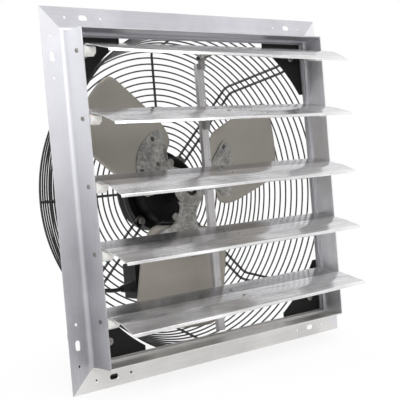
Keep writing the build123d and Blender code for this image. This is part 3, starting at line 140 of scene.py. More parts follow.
def dress(tree, shader, colour, rough_from, roughness, relief_from, relief, metallic):
    """Wire a shader's colour, varied roughness, fine relief and share of metal."""
    tree.links.new(colour, shader.inputs["Base Color"])
    rough = add(
        tree,
        "ShaderNodeMapRange",
        {"Value": rough_from, "To Min": roughness[0], "To Max": roughness[1]},
    )
    tree.links.new(rough.outputs["Result"], shader.inputs["Roughness"])
    strength, distance = relief
    bump = add(
        tree,
        "ShaderNodeBump",
        {"Height": relief_from, "Strength": strength, "Distance": distance},
    )
    tree.links.new(bump.outputs["Normal"], shader.inputs["Normal"])
    shader.inputs["Metallic"].default_value = metallic


# A mill-finish aluminium extrusion: die lines along its length, soft handling marks, and where
# asked a painted reflection that pales it towards its top
def mill_aluminium(name, line_scale, stops, painted_reflection_drift=None):
    material, tree, shader, place = new_material(name)
    lines_at = add(
        tree, "ShaderNodeMapping", {"Vector": place, "Scale": line_scale}
    ).outputs["Vector"]
    lines = add(
        tree, "ShaderNodeTexNoise", {"Vector": lines_at, "Scale": 1.0, "Detail": 3.0}
    ).outputs["Fac"]
    clouds = add(
        tree,
        "ShaderNodeTexNoise",
        {"Vector": place, "Scale": 9.0, "Detail": 4.0, "Roughness": 0.55},
    ).outputs["Fac"]
    colour = tones(tree, layered(tree, lines, 0.45, clouds, 0.48, 0.98)[1], stops)
    # Painted reflection: the colour is mixed towards a paler tone from the lower to the upper
    # height
    if painted_reflection_drift:
        low, high, code = painted_reflection_drift
        height = add(tree, "ShaderNodeSeparateXYZ", {"Vector": place}).outputs["Z"]
        share = add(
            tree,
            "ShaderNodeMapRange",
            {"Value": height, "From Min": low, "From Max": high},
            interpolation_type="SMOOTHSTEP",
        ).outputs["Result"]
        colour = add(
            tree, "ShaderNodeMix", {0: share, 6: colour, 7: linear(code)}, data_type="RGBA"
        ).outputs[2]
    dress(tree, shader, colour, clouds, (0.34, 0.5), lines, (0.12, 0.0004), 0.72)
    return material


# From the front lip to the rear edge, painted reflection bands: a painted highlight on the lip,
# plain sheet, a painted highlight on the bead, painted shade on the strip behind it, and a painted
# highlight on the rear edge
LOUVRE_LIP, LOUVRE_REAR = -84.5, 20.5
LOUVRE_PAINTED_REFLECTION_BANDS = (
    (0.0, "#ffffff"),
    (0.04, "#ffffff"),
    (0.08, "#f8f8f8"),
    (0.5, "#f8f8f9"),
    (0.57, "#ffffff"),
    (0.62, "#ffffff"),
    (0.66, "#b9b8ba"),
    (0.9, "#d4d4d6"),
    (0.97, "#ffffff"),
    (1.0, "#ffffff"),
)


# Rolled aluminium sheet: mill lines along the louvre, smudges, and painted reflection bands from
# the front lip to the rear edge
def rolled_aluminium(name, level):
    material, tree, shader, place = new_material(name)
    centred = add(
        tree,
        "ShaderNodeMapping",
        {"Vector": place, "Location": (0.0, -PIVOT_DEPTH * METRE, -level * METRE)},
    ).outputs["Vector"]
    lines_at = add(
        tree, "ShaderNodeMapping", {"Vector": centred, "Scale": (5.0, 420.0, 120.0)}
    ).outputs["Vector"]
    lines = add(
        tree, "ShaderNodeTexNoise", {"Vector": lines_at, "Scale": 1.0, "Detail": 3.0}
    ).outputs["Fac"]
    smudges_at = add(
        tree, "ShaderNodeMapping", {"Vector": centred, "Scale": (9.0, 30.0, 30.0)}
    ).outputs["Vector"]
    smudges = add(
        tree,
        "ShaderNodeTexNoise",
        {"Vector": smudges_at, "Scale": 1.0, "Detail": 5.0, "Roughness": 0.6},
    ).outputs["Fac"]
    mixed, amount = layered(tree, lines, 0.7, smudges, 0.6, 1.1)
    colour = tones(tree, amount, ((0.0, "#b6b4b5"), (0.5, "#dddcdc"), (1.0, "#f8f7f8")))
    back = add(tree, "ShaderNodeSeparateXYZ", {"Vector": centred}).outputs["Y"]
    band_at = add(
        tree,
        "ShaderNodeMapRange",
        {"Value": back, "From Min": LOUVRE_LIP * METRE, "From Max": LOUVRE_REAR * METRE},
    ).outputs["Result"]
    # Painted highlights and painted shade: the bands across the sheet multiply its colour
    painted_bands_colour = add(
        tree,
        "ShaderNodeMix",
        {0: 1.0, 6: colour, 7: tones(tree, band_at, LOUVRE_PAINTED_REFLECTION_BANDS)},
        data_type="RGBA",
        blend_type="MULTIPLY",
    ).outputs[2]
    dress(tree, shader, painted_bands_colour, smudges, (0.1, 0.24), mixed, (0.16, 0.0006), 0.74)
    return material


# Hot-dip galvanised sheet: frosted zinc crystals 3 to 6 mm wide, dull over them
def galvanised_sheet(name, crystal):
    material, tree, shader, place = new_material(name)
    crystals = add(tree, "ShaderNodeTexVoronoi", {"Vector": place, "Scale": 1000.0 / crystal})
    tone = add(
        tree, "ShaderNodeSeparateColor", {"Color": crystals.outputs["Color"]}
    ).outputs["Red"]
    clouds = add(tree, "ShaderNodeTexNoise", {"Vector": place, "Scale": 28.0, "Detail": 4.0})
    mixed, amount = layered(tree, tone, 0.5, clouds.outputs["Fac"], 0.4, 1.15)
    colour = tones(tree, amount, ((0.0, "#83827e"), (0.5, "#a5a4a0"), (1.0, "#cccbc7")))
    dress(tree, shader, colour, tone, (0.3, 0.52), mixed, (0.25, 0.0005), 0.8)
    return material


# Cloudy finishes that differ in tone, gloss and grain: paints, mouldings, plated steel
def cloudy(name, stops, grain, roughness, metallic=0.0, relief=0.0003, coat=0.0, gloss=0.5):
    material, tree, shader, place = new_material(name)
    clouds = add(
        tree,
        "ShaderNodeTexNoise",
        {"Vector": place, "Scale": 22.0, "Detail": 4.0, "Roughness": 0.6},
    ).outputs["Fac"]
    fine = add(
        tree, "ShaderNodeTexNoise", {"Vector": place, "Scale": 1000.0 / grain, "Detail": 2.0}
    ).outputs["Fac"]
    mixed, amount = layered(tree, fine, 0.4, clouds, 0.45, 0.95)
    colour = tones(tree, amount, stops)
    dress(tree, shader, colour, mixed, roughness, fine, (0.2, relief), metallic)
    shader.inputs["Coat Weight"].default_value = coat
    shader.inputs["Specular IOR Level"].default_value = gloss
    return material


# Die lines run along a frame length, closely spaced. The four sides are lit and shaded copies of
# one aluminium, their tones painted light and shade: the left and top painted darker, the bottom
# and right painted paler; the left one also pales towards its top as a painted reflection.
LINES_ACROSS, LINES_UPRIGHT = (4.0, 500.0, 500.0), (500.0, 500.0, 4.0)
frame_lit_and_shaded_copies = {
    "top": mill_aluminium(
        "extruded_aluminium_top", LINES_ACROSS, ((0.0, "#b4b4b9"), (1.0, "#d2d2d7"))
    ),
    "bottom": mill_aluminium(
        "extruded_aluminium_bottom", LINES_ACROSS, ((0.0, "#d2d0ce"), (1.0, "#f0eeec"))
    ),
    "left": mill_aluminium(
        "extruded_aluminium_left",
        LINES_UPRIGHT,
        ((0.0, "#a0a0a5"), (1.0, "#c2c2c6")),
        # Painted reflection: pales to this tone between these heights in metres
        (-0.16, 0.2, "#e2e2e6"),
    ),
    "right": mill_aluminium(
        "extruded_aluminium_right", LINES_UPRIGHT, ((0.0, "#cfcfd3"), (1.0, "#f2f2f5"))
    ),
}
bar_aluminium = mill_aluminium(
    "extruded_aluminium_bar", (420.0, 420.0, 5.0), ((0.0, "#a8a6a6"), (1.0, "#d4d2d3"))
)
spider_zinc = galvanised_sheet("galvanised_sheet_spider", 4.5)
crank_zinc = galvanised_sheet("galvanised_sheet_crank", 3.0)
# Dull rolled aluminium, brownish from oil, nearly plain
blade_metal = cloudy(
    "dull_rolled_blade",
    ((0.0, "#a8a39a"), (0.5, "#aca79e"), (1.0, "#b1aca3")),
    grain=1.2,
    roughness=(0.44, 0.5),
    metallic=0.5,
)
# Black epoxy powder coat with a light orange peel, satin
black_coat = cloudy(
    "black_powder_coat",
    ((0.0, "#090909"), (1.0, "#141414")),
    grain=1.6,
    roughness=(0.42, 0.56),
    relief=0.0004,
    gloss=0.3,
)
motor_enamel = cloudy(
    "black_motor_enamel",
    ((0.0, "#050505"), (1.0, "#0c0c0c")),
    grain=1.0,
    roughness=(0.5, 0.64),
    gloss=0.2,
)
# Dark dipped wire, glossy enough to catch a grey line of light
guard_coat = cloudy(
    "dark_dipped_wire",
    ((0.0, "#0e0e0f"), (1.0, "#242426")),
    grain=1.5,
    roughness=(0.24, 0.36),
    metallic=0.3,
    relief=0.0002,
    coat=0.35,
)
rod_steel = cloudy(
    "grey_coated_rod",
    ((0.0, "#4c4c4d"), (1.0, "#767677")),
    grain=1.5,
    roughness=(0.25, 0.4),
    metallic=0.6,
    relief=0.0002,
)
zinc_plate = cloudy(
    "zinc_plated_steel",
    ((0.0, "#77746f"), (0.5, "#928f8a"), (1.0, "#b4b1ac")),
    grain=0.8,
    roughness=(0.28, 0.46),
    metallic=0.9,
)
# Steel rivets gone dull and brown from heat and oil
rivet_steel = cloudy(
    "dull_rivet_steel",
    ((0.0, "#3b3832"), (0.5, "#57534b"), (1.0, "#757065")),
    grain=1.0,
    roughness=(0.36, 0.54),
    metallic=0.7,
)
oiled_steel = cloudy(
    "oiled_black_steel",
    ((0.0, "#1a1b16"), (0.5, "#33352a"), (1.0, "#4d4f3c")),
    grain=1.2,
    roughness=(0.32, 0.5),
    metallic=0.6,
)
bright_steel = cloudy(
    "ground_steel",
    ((0.0, "#8d8c8a"), (1.0, "#b9b8b6")),
    grain=0.6,
    roughness=(0.2, 0.34),
    metallic=1.0,
)
# White nylon 66, moulded: faintly cream, with a waxy sheen
white_nylon = cloudy(
    "white_moulded_nylon",
    ((0.0, "#d9d8d3"), (0.5, "#e6e5e1"), (1.0, "#f1f0ec")),
    grain=2.5,
    roughness=(0.4, 0.55),
)
nylon_shader = white_nylon.node_tree.nodes["Principled BSDF"]
nylon_shader.inputs["Subsurface Weight"].default_value = 0.12
nylon_shader.inputs["Subsurface Scale"].default_value = 0.002
grey_nylon = cloudy(
    "grey_moulded_nylon",
    ((0.0, "#7d7b79"), (1.0, "#a19f9c")),
    grain=2.0,
    roughness=(0.42, 0.58),
)
black_nylon = cloudy(
    "black_moulded_nylon",
    ((0.0, "#101010"), (1.0, "#222222")),
    grain=1.2,
    roughness=(0.42, 0.6),
)
# Soft PVC sheath, black with a dull shine
cord_sheath = cloudy(
    "black_pvc_sheath",
    ((0.0, "#0e0e0e"), (1.0, "#1d1d1d")),
    grain=0.9,
    roughness=(0.38, 0.52),
    relief=0.0002,
)
copper_enamel = cloudy(
    "lacquered_winding_wire",
    ((0.0, "#7a3f1f"), (1.0, "#b0683a")),
    grain=0.9,
    roughness=(0.3, 0.45),
    metallic=0.7,
)
prong_brass = cloudy(
    "bright_brass",
    ((0.0, "#a98f45"), (1.0, "#cdb56a")),
    grain=0.7,
    roughness=(0.2, 0.34),
    metallic=1.0,
)


def grid_faces(rows, columns, wrap_rows=False, wrap_columns=False):
    """Four-sided faces between neighbours of a grid of points, row by row."""
    row = np.arange(rows if wrap_rows else rows - 1)[:, None]
    column = np.arange(columns if wrap_columns else columns - 1)[None, :]
    below = (row + 1) % rows
    beside = (column + 1) % columns
    corners = (
        row * columns + column,
        row * columns + beside,
        below * columns + beside,
        below * columns + column,
    )
    shape = (row.size, column.size)
    return np.stack([np.broadcast_to(corner, shape).ravel() for corner in corners], axis=1)


def capped_faces(rows, columns, closed=False):
    """The faces of a tube whose rows go round it, with a face over each end if it is open."""
    faces = grid_faces(rows, columns, closed, True).tolist()
    if not closed:
        faces.append(list(range(columns)))
        faces.append([(rows - 1) * columns + column for column in range(columns)])
    return faces


def make_piece(name, parts, material, body, replaced=(), sharp=35.0, sheet=0.0):
    """Join (points, faces) parts into one mesh with its finish, and seat it on its body."""
    points, faces, start = [], [], 0
    for part_points, part_faces in parts:
        flat = np.asarray(part_points, float).reshape(-1, 3)
        points.append(flat)
        faces.extend([[int(corner) + start for corner in face] for face in part_faces])
        start += len(flat)
    mesh = bpy.data.meshes.new(name)
    mesh.from_pydata((np.concatenate(points) * METRE).tolist(), [], faces)
    shell = bmesh.new()
    shell.from_mesh(mesh)
    bmesh.ops.remove_doubles(shell, verts=shell.verts, dist=1e-6)
    bmesh.ops.recalc_face_normals(shell, faces=shell.faces)
    shell.to_mesh(mesh)
    shell.free()
    mesh.shade_smooth()
    mesh.set_sharp_from_angle(angle=math.radians(sharp))
    mesh.materials.append(material)
    made = bpy.data.objects.new(name, mesh)
    bpy.context.scene.collection.objects.link(made)
    if sheet:
        wall = made.modifiers.new("sheet_thickness", "SOLIDIFY")
        wall.thickness = sheet * METRE
        wall.offset = 0.0
        wall.use_even_offset = True
    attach(made, body)
    if replaced:
        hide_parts(*replaced)
    return made


ARC_STEPS = 8


def rounded_line(corners, radii):
    """Straight runs joined by arcs of the given radii, as sampled points."""
    corners = [np.asarray(corner, float) for corner in corners]
    points = [corners[0]]
    for before, here, after, radius in zip(corners, corners[1:], corners[2:], radii):
        way_in = (here - before) / np.linalg.norm(here - before)
        way_out = (after - here) / np.linalg.norm(after - here)
        half = math.acos(float(np.clip(way_in @ way_out, -1, 1))) / 2
        if radius <= 0 or half < 1e-4:
            points.append(here)
            continue
        inward = (way_out - way_in) / np.linalg.norm(way_out - way_in)
        centre = here + inward * radius / math.cos(half)
        start = here - way_in * radius * math.tan(half) - centre
        angle = np.linspace(0, 2 * half, ARC_STEPS + 1)[:, None]
        points.extend(centre + start * np.cos(angle) + way_in * radius * np.sin(angle))
    points.append(corners[-1])
    return np.array(points)


def wire(path, radius, reference, closed=False, sides=10):
    """A round wire: a circle carried along a path, turned from a fixed reference direction."""
    path = np.asarray(path, float)
    if closed:
        way = np.roll(path, -1, 0) - np.roll(path, 1, 0)
    else:
        way = np.gradient(path, axis=0)
    way /= np.linalg.norm(way, axis=1, keepdims=True)
    reference = np.asarray(reference, float)
    across = reference - way * (way @ reference)[:, None]
    across /= np.linalg.norm(across, axis=1, keepdims=True)
    upward = np.cross(way, across)
    turn = np.linspace(0, 2 * math.pi, sides, endpoint=False)[None, :, None]
    around = np.cos(turn) * across[:, None] + np.sin(turn) * upward[:, None]
    rings = path[:, None] + radius * around
    return rings, capped_faces(len(path), sides, closed)


def turned(profile, origins, directions, sides=40, closed=False):
    """Lathe shapes: a (radius, along) profile turned about each direction from each origin."""
    profile = np.asarray(profile, float)
    turn = np.linspace(0, 2 * math.pi, sides, endpoint=False)
    parts = []
    for origin, direction in zip(np.asarray(origins, float), np.asarray(directions, float)):
        axis = direction / np.linalg.norm(direction)
        helper = UPWARD if abs(axis[2]) < 0.9 else RIGHTWARD
        first = np.cross(axis, helper)
        first /= np.linalg.norm(first)
        second = np.cross(axis, first)
        spokes = np.cos(turn)[:, None] * first + np.sin(turn)[:, None] * second
        points = origin + profile[:, None, 1:] * axis + profile[:, None, :1] * spokes[None]
        parts.append((points, capped_faces(len(profile), sides, closed)))
    return parts


# Cord: out of the gland, between two guard rings and down to a coil behind the flange
cord_route = [
    (-128.6, 112.0, -170.0),
    (-146.0, 109.4, -171.2),
    (-172.8, 104.3, -165.2),
    (-196.4, 101.8, -172.4),
    (-235.3, 108.0, -193.2),
    (-240.1, 124.0, -237.2),
    (-230.0, 121.5, -276.3),
    (-230.0, 110.45, -295.44),
    (-230.0, 91.31, -306.49),
    (-230.0, 69.21, -306.49),
]
COIL_CENTRE = np.array([-178.5, 61.81, -306.49])
COIL_OUTER, COIL_PITCH, COIL_RISE = 51.5, 9.3, 8.8
COIL_HALF_TURNS = 5
POINTS_PER_HALF_TURN = 8
# Control points stand a little outside the turns that the spline then makes
COIL_POINT_REACH = 1.012
CORD_LAST_POINT = (-127.0, 91.81, -297.69)
CORD_RADIUS = 3.7


def coil_points():
    """A spiral inwards, half a turn that climbs, and a spiral outwards on top of it."""
    step = np.arange(POINTS_PER_HALF_TURN * (2 * COIL_HALF_TURNS + 1) + 1) / POINTS_PER_HALF_TURN
    inward = np.minimum(step, COIL_HALF_TURNS)
    outward = np.maximum(step - COIL_HALF_TURNS - 1, 0)
    radius = (COIL_OUTER - COIL_PITCH / 2 * (inward - outward)) * COIL_POINT_REACH
    climb = np.clip(step - COIL_HALF_TURNS, 0, 1)
    angle = np.pi * (1 + step)
    around = np.stack([radius * np.cos(angle), radius * np.sin(angle), COIL_RISE * climb], axis=1)
    return COIL_CENTRE + around


cord_points = np.concatenate([cord_route, coil_points(), [CORD_LAST_POINT]])
cord_curve = bpy.data.curves.new("supply_cord", "CURVE")
cord_curve.dimensions = "3D"
cord_curve.bevel_depth = CORD_RADIUS * METRE
cord_curve.bevel_resolution = 6
cord_curve.resolution_u = 10
cord_curve.use_fill_caps = True
cord_spline = cord_curve.splines.new("NURBS")
cord_spline.points.add(len(cord_points) - 1)
cord_spline.points.foreach_set(
    "co", np.concatenate([cord_points * METRE, np.ones((len(cord_points), 1))], axis=1).ravel()
)
cord_spline.order_u = 3
cord_spline.use_endpoint_u = True
cord_curve.materials.append(cord_sheath)
supply_cord = bpy.data.objects.new("supply_cord", cord_curve)
bpy.context.scene.collection.objects.link(supply_cord)
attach(supply_cord, "frame")
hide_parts("cord_tube", "cord_coil")

# A tie's loop round the coil: its sides from the centre of the coil's lower layer
TIE_INNER, TIE_OUTER, TIE_LOW, TIE_HIGH = 21.5, 58.5, -4.0, 13.4
TIE_START, TIE_CORNER = 40.0, 3.5
TIE_HALF_WIDTH, TIE_INSIDE, TIE_OUTSIDE = 2.3, -0.2, 0.45


def band_round_coil(angle):
    """A flat tie: a rounded rectangle round both layers of the coil at an angle."""
    out = np.array([math.cos(math.radians(angle)), math.sin(math.radians(angle)), 0.0])
    along = np.array([-out[1], out[0], 0.0])
    corners = [
        (TIE_START, TIE_LOW),
        (TIE_OUTER, TIE_LOW),
        (TIE_OUTER, TIE_HIGH),
        (TIE_INNER, TIE_HIGH),
        (TIE_INNER, TIE_LOW),
        (TIE_START, TIE_LOW),
    ]
    loop = rounded_line(corners, (TIE_CORNER,) * 4)[:-1]
    centre = loop[:, :1] * out + loop[:, 1:] * UPWARD + COIL_CENTRE
    outward = centre - centre.mean(0)
    outward /= np.linalg.norm(outward, axis=1, keepdims=True)
    section = [
        (-TIE_HALF_WIDTH, TIE_INSIDE),
        (TIE_HALF_WIDTH, TIE_INSIDE),
        (TIE_HALF_WIDTH, TIE_OUTSIDE),
        (-TIE_HALF_WIDTH, TIE_OUTSIDE),
    ]
    rings = np.stack([centre + width * along + rise * outward for width, rise in section], axis=1)
    return rings, grid_faces(len(loop), 4, True, True)


coil_ties = make_piece(
    "coil_ties", [band_round_coil(100), band_round_coil(260)], black_nylon, "frame"
)

# Strain relief: a tapered moulding with grip rings
RELIEF_START = (-106.05, 112.0, -170.0)
RELIEF_LENGTH, RELIEF_RADIUS, RELIEF_TAPER = 22.4, 11.0, 5.2
GRIP_HEIGHT, GRIP_PITCH = 0.35, 3.2
relief_steps = np.linspace(0, RELIEF_LENGTH, 85)
relief_grip = GRIP_HEIGHT * np.cos(2 * math.pi * relief_steps / GRIP_PITCH)
relief_radius = RELIEF_RADIUS - RELIEF_TAPER * relief_steps / RELIEF_LENGTH + relief_grip
relief_profile = np.stack([relief_radius, relief_steps], axis=1)
make_piece(
    "cord_strain_relief",
    turned(relief_profile, [RELIEF_START], [(-1, 0, 0)]),
    black_nylon,
    "frame",
    ["cord_gland"],
)

# Louvres: folded sheets, each with the slight twist that its front edge shows
LOUVRE_FOLDS = np.array(
    [
        (20.0, 14.9),
        (20.0, 17.7),
        (-18.5, 6.6),
        (-20.5, 8.1),
        (-24.5, 7.2),
        (-53.0, 0.2),
        (-80.0, -13.0),
        (-82.4, -14.0),
        (-84.5, -19.0),
    ]
)
LOUVRE_BENDS = (0.5, 1.0, 1.0, 0.0, 60.0, 0.0, 1.5)
LOUVRE_SHEET = 1.2
LOUVRE_HALF_LENGTH = 266.0
# The twist starts this far forward of the pivots and grows over this much more
TWIST_START, TWIST_RUN = 47.0, 37.5
RIPPLE_HEIGHT, RIPPLE_RUN = 0.35, 41.0
# Height of each front edge above its flat place, at the left and the right end
LOUVRE_TWISTS = ((6.5, -2.0), (2.9, 4.8), (-1.0, 2.4), (3.0, 5.2), (0.0, 7.2))


def folded_section():
    """The louvre's closed section: its top line, and the same line moved by its thickness."""
    way = np.diff(LOUVRE_FOLDS, axis=0)
    way /= np.linalg.norm(way, axis=1, keepdims=True)
    left = np.stack([-way[:, 1], way[:, 0]], axis=1)
    before = np.concatenate([left[:1], left])
    after = np.concatenate([left, left[-1:]])
    reach = LOUVRE_SHEET / (1 + (before * after).sum(1, keepdims=True))
    under = LOUVRE_FOLDS + (before + after) * reach
    turns_left = (before[:, 0] * after[:, 1] > before[:, 1] * after[:, 0])[1:-1]
    bends = np.array(LOUVRE_BENDS)
    thick = np.where(bends > 0, LOUVRE_SHEET, 0)
    top_line = rounded_line(LOUVRE_FOLDS, np.where(turns_left, bends + thick, bends))
    under_line = rounded_line(under, np.where(turns_left, bends, bends + thick))
    return np.concatenate([top_line, under_line[::-1]])


def louvre_parts(level, twist):
    """The section carried along the louvre, its front part lifted in proportion to the twist."""
    section = folded_section()
    run = np.linspace(-LOUVRE_HALF_LENGTH, LOUVRE_HALF_LENGTH, 61)
    share = (run + LOUVRE_HALF_LENGTH) / (2 * LOUVRE_HALF_LENGTH)
    ripple = RIPPLE_HEIGHT * np.sin(run / RIPPLE_RUN + level)
    edge_lift = twist[0] * (1 - share) + twist[1] * share + ripple
    front = np.clip((-section[:, 0] - TWIST_START) / TWIST_RUN, 0, 1)
    lift = edge_lift[:, None] * (front * front * (1.6 - 0.6 * front))[None, :]
    points = np.empty((len(run), len(section), 3))
    points[..., 0] = run[:, None]
    points[..., 1] = section[None, :, 0] + PIVOT_DEPTH
    points[..., 2] = section[None, :, 1] + level + lift
    return [(points, capped_faces(len(run), len(section)))]


for number, (level, twist) in enumerate(zip(LOUVRE_PIVOTS, LOUVRE_TWISTS), start=1):
    louvre = f"louvre_{number}"
    finish = rolled_aluminium(f"rolled_aluminium_{louvre}", level)
    parts = louvre_parts(level, twist)
    make_piece(f"louvre_sheet_{number}", parts, finish, louvre, [louvre], sharp=28.0)


def out_and_across(degrees):
    """Unit directions out along an arm and across it."""
    angle = math.radians(degrees)
    out = np.array([math.cos(angle), 0.0, math.sin(angle)])
    return out, np.array([-out[2], 0.0, out[0]])


# Wire guard: rings on a flat face, then on a cone that opens towards the flange
RING_RADIUS, SPOKE_RADIUS = 1.5, 2.4
FACE_DEPTH, FACE_OUTER, FACE_PITCH, FACE_RINGS = 137.0, 253.8, 11.8, 15
SHOULDER_RING = (264.6, 134.6)
CONE_START, CONE_STEP, CONE_RINGS = np.array([266.7, 135.9]), np.array([3.0, -13.0]), 10
FACE_SPOKE = ((86.0, 133.6), (256.8, 133.6))
SIDE_SPOKE = ((256.85, 133.6), (263.74, 133.6), (293.9, 2.84))
SPOKE_BEND = 7.5


def ring_wire(radius, depth):
    """A round wire bent into a ring about the fan's axis."""
    turn = np.linspace(0, 2 * math.pi, 160, endpoint=False)
    depths = np.full(len(turn), depth)
    path = np.stack([radius * np.cos(turn), depths, radius * np.sin(turn)], axis=1)
    return wire(path, RING_RADIUS, TO_BACK, closed=True, sides=8)


def spoke_wire(degrees, corners, radii=()):
    """A wire in the plane of the fan's axis at an angle, through (out, back) corners."""
    out, across = out_and_across(degrees)
    line = rounded_line(corners, radii)
    return wire(line[:, :1] * out + line[:, 1:] * TO_BACK, SPOKE_RADIUS, across)


face_wires = [ring_wire(FACE_OUTER - FACE_PITCH * step, FACE_DEPTH) for step in range(FACE_RINGS)]
side_wires = [ring_wire(*SHOULDER_RING)]
side_wires.extend(ring_wire(*(CONE_START + CONE_STEP * step)) for step in range(1, CONE_RINGS + 1))
for degrees in (0, 90, 180, 270):
    face_wires.append(spoke_wire(degrees, FACE_SPOKE))
    side_wires.append(spoke_wire(degrees, SIDE_SPOKE, (SPOKE_BEND,)))
make_piece("guard_face_wires", face_wires, guard_coat, "frame", ["guard_face"])
make_piece("guard_side_wires", side_wires, guard_coat, "frame", ["guard_side"])


# Rods: half the space between a rod's two legs, its depth behind the guard, its bends
ROD_RADIUS, ROD_SIDE, ROD_DEPTH, ROD_LOOP = 2.5, 8.0, 141.05, 75.0
ROD_LEG = ((346.0, 4.55), (304.9, 4.55), (269.8, ROD_DEPTH), (ROD_LOOP, ROD_DEPTH))
ROD_BENDS = (10.0, 12.0)
# Slanted, so that no run of a rod points along it
ROD_REFERENCE_SLANT = 1.7
ROD_DIRECTIONS = {"top_right": 45, "top_left": 135, "bottom_left": 225, "bottom_right": 315}


def support_wire(degrees):
    """One rod: back from its gusset outside the guard, in behind it, and round the motor bolt."""
    out, across = out_and_across(degrees)
    leg = rounded_line(ROD_LEG, ROD_BENDS)
    leg = leg[:, :1] * out + leg[:, 1:] * TO_BACK
    turn = np.linspace(0, math.pi, 25)[1:-1, None]
    reach = ROD_LOOP - ROD_SIDE * np.sin(turn)
    loop = reach * out + ROD_SIDE * np.cos(turn) * across + ROD_DEPTH * TO_BACK
    path = np.concatenate([leg + ROD_SIDE * across, loop, leg[::-1] - ROD_SIDE * across])
    return wire(path, ROD_RADIUS, across + ROD_REFERENCE_SLANT * TO_BACK, sides=12)


for corner, degrees in ROD_DIRECTIONS.items():
    rod = f"support_rod_{corner}"
    rod_wire = [support_wire(degrees)]
    make_piece(f"support_wire_{corner}", rod_wire, rod_steel, "frame", [rod])

# Blades: cambered sheets; their section is one arc, through these (across, back) places
BLADE_SHEET = 1.6
LEAD, TRAIL, CAMBER = np.array([56.0, 34.4]), np.array([-124.0, 85.6]), 6.0
blade_chord = np.linalg.norm(LEAD - TRAIL)
camber_radius = blade_chord**2 / (8 * CAMBER) + CAMBER / 2
chord_back = np.array([TRAIL[1] - LEAD[1], LEAD[0] - TRAIL[0]]) / blade_chord
camber_centre = (LEAD + TRAIL) / 2 + chord_back * (CAMBER - camber_radius)


def blade_depth(across):
    """Depth of the blade's front face at a place across it, on the camber's arc."""
    run = np.asarray(across, float) - camber_centre[0]
    return camber_centre[1] + np.sqrt(camber_radius**2 - run**2)


def blade_slope(across):
    """How fast the blade's front face goes back across it."""
    run = across - camber_centre[0]
    return -run / math.sqrt(camber_radius**2 - run**2)


def through(*points):
    """A parabola through three points."""
    share = np.linspace(0, 1, 24)[:, None]
    first, middle, last = (np.asarray(point, float) for point in points)
    centre = 2 * middle - (first + last) / 2
    return (1 - share) ** 2 * first + 2 * share * (1 - share) * centre + share**2 * last


def trimmed(curve, start, end, count=40):
    """A curve cut short at both ends by lengths along it, sampled evenly."""
    length = np.concatenate([[0], np.cumsum(np.linalg.norm(np.diff(curve, axis=0), axis=1))])
    at = np.linspace(start, length[-1] - end, count)
    return np.stack([np.interp(at, length, curve[:, axis]) for axis in range(2)], axis=1)


def joined_outline(curves, cuts):
    """A closed outline from curves whose shared corners are rounded by the given cuts."""
    pieces = []
    for index, curve in enumerate(curves):
        before, after = cuts[index - 1], cuts[index]
        middle = trimmed(np.asarray(curve, float), before, after)
        pieces.append(middle)
        if after > 0:
            following = trimmed(np.asarray(curves[(index + 1) % len(curves)], float), after, 0)
            corner = np.asarray(curve, float)[-1]
            share = np.linspace(0, 1, 12)[1:-1, None]
            from_middle, from_corner = (1 - share) ** 2, 2 * share * (1 - share)
            pieces.append(
                from_middle * middle[-1] + from_corner * corner + share**2 * following[0]
            )
    outline = np.concatenate(pieces)
    keep = np.linalg.norm(outline - np.roll(outline, 1, 0), axis=1) > 1e-4
    return outline[keep]


def plate(outline, centre, depth_of, degrees):
    """A sheet inside an outline: the outline drawn in towards a centre, on a depth surface."""
    out, across = out_and_across(degrees)
    share = np.linspace(0, 1, 15)[:, None, None] ** 0.8
    flat = centre + share * (outline[None] - centre)
    depth = depth_of(flat[..., 0], flat[..., 1])
    points = flat[..., :1] * out + flat[..., 1:] * across + depth[..., None] * TO_BACK
    return points, grid_faces(len(share), len(outline), False, True)


# The blade's corners as (out, across), from its tip's leading corner round by the root
TIP_LEAD, ROOT_LEAD, ROOT_INNER = (253.0, 34.0), (88.0, 61.0), (72.0, 30.0)
ROOT_BACK, ROOT_TRAIL = (64.0, -38.0), (61.0, -65.0)
NECK_TRAIL, TIP_TRAIL = (129.0, -103.0), (223.0, -121.0)
TIP_REACH_TRAIL, TIP_REACH_LEAD, TIP_BULGE = 253.7, 255.3, 6.0
CORNER_CUTS = (17.0, 9.0, 6.0, 2.0, 1.0, 8.0, 20.0)
tip_turn = np.linspace(math.atan2(*TIP_TRAIL[::-1]), math.atan2(*TIP_LEAD[::-1]), 60)
tip_share = np.linspace(0, 1, 60)
tip_bulge = TIP_BULGE * tip_share * (1 - tip_share)
tip_reach = TIP_REACH_TRAIL * (1 - tip_share) + TIP_REACH_LEAD * tip_share + tip_bulge
blade_tip = np.stack([tip_reach * np.cos(tip_turn), tip_reach * np.sin(tip_turn)], axis=1)
blade_outline = joined_outline(
    [
        blade_tip,
        through(TIP_LEAD, (172.0, 53.0), ROOT_LEAD),
        np.array([ROOT_LEAD, ROOT_INNER]),
        np.array([ROOT_INNER, ROOT_BACK]),
        np.array([ROOT_BACK, ROOT_TRAIL]),
        through(ROOT_TRAIL, (81.0, -88.0), NECK_TRAIL),
        np.array([NECK_TRAIL, TIP_TRAIL]),
    ],
    CORNER_CUTS,
)


def blade_middle(out, across):
    """The middle of the blade sheet, half its thickness behind its front face."""
    return blade_depth(across) + BLADE_SHEET / 2 + 0 * out


BLADE_CENTRE = np.array([150.0, -30.0])
for number, degrees in enumerate(BLADE_DIRECTIONS, start=1):
    blade = f"fan_blade_{number}"
    parts = [plate(blade_outline, BLADE_CENTRE, blade_middle, degrees)]
    make_piece(
        f"blade_sheet_{number}", parts, blade_metal, "fan", [blade], sheet=BLADE_SHEET
    )

# Spider: a dished centre, three twisted necks with a rib along each edge, three lobes
HUB_FACE = 50.2
SPIDER_SHEET = 2.0
# The sheet's middle lies behind the hub's face, and in front of the blade's front face
HUB_OFFSET, ARM_OFFSET, DISH_OFFSET = 1.0, 1.05, 1.03
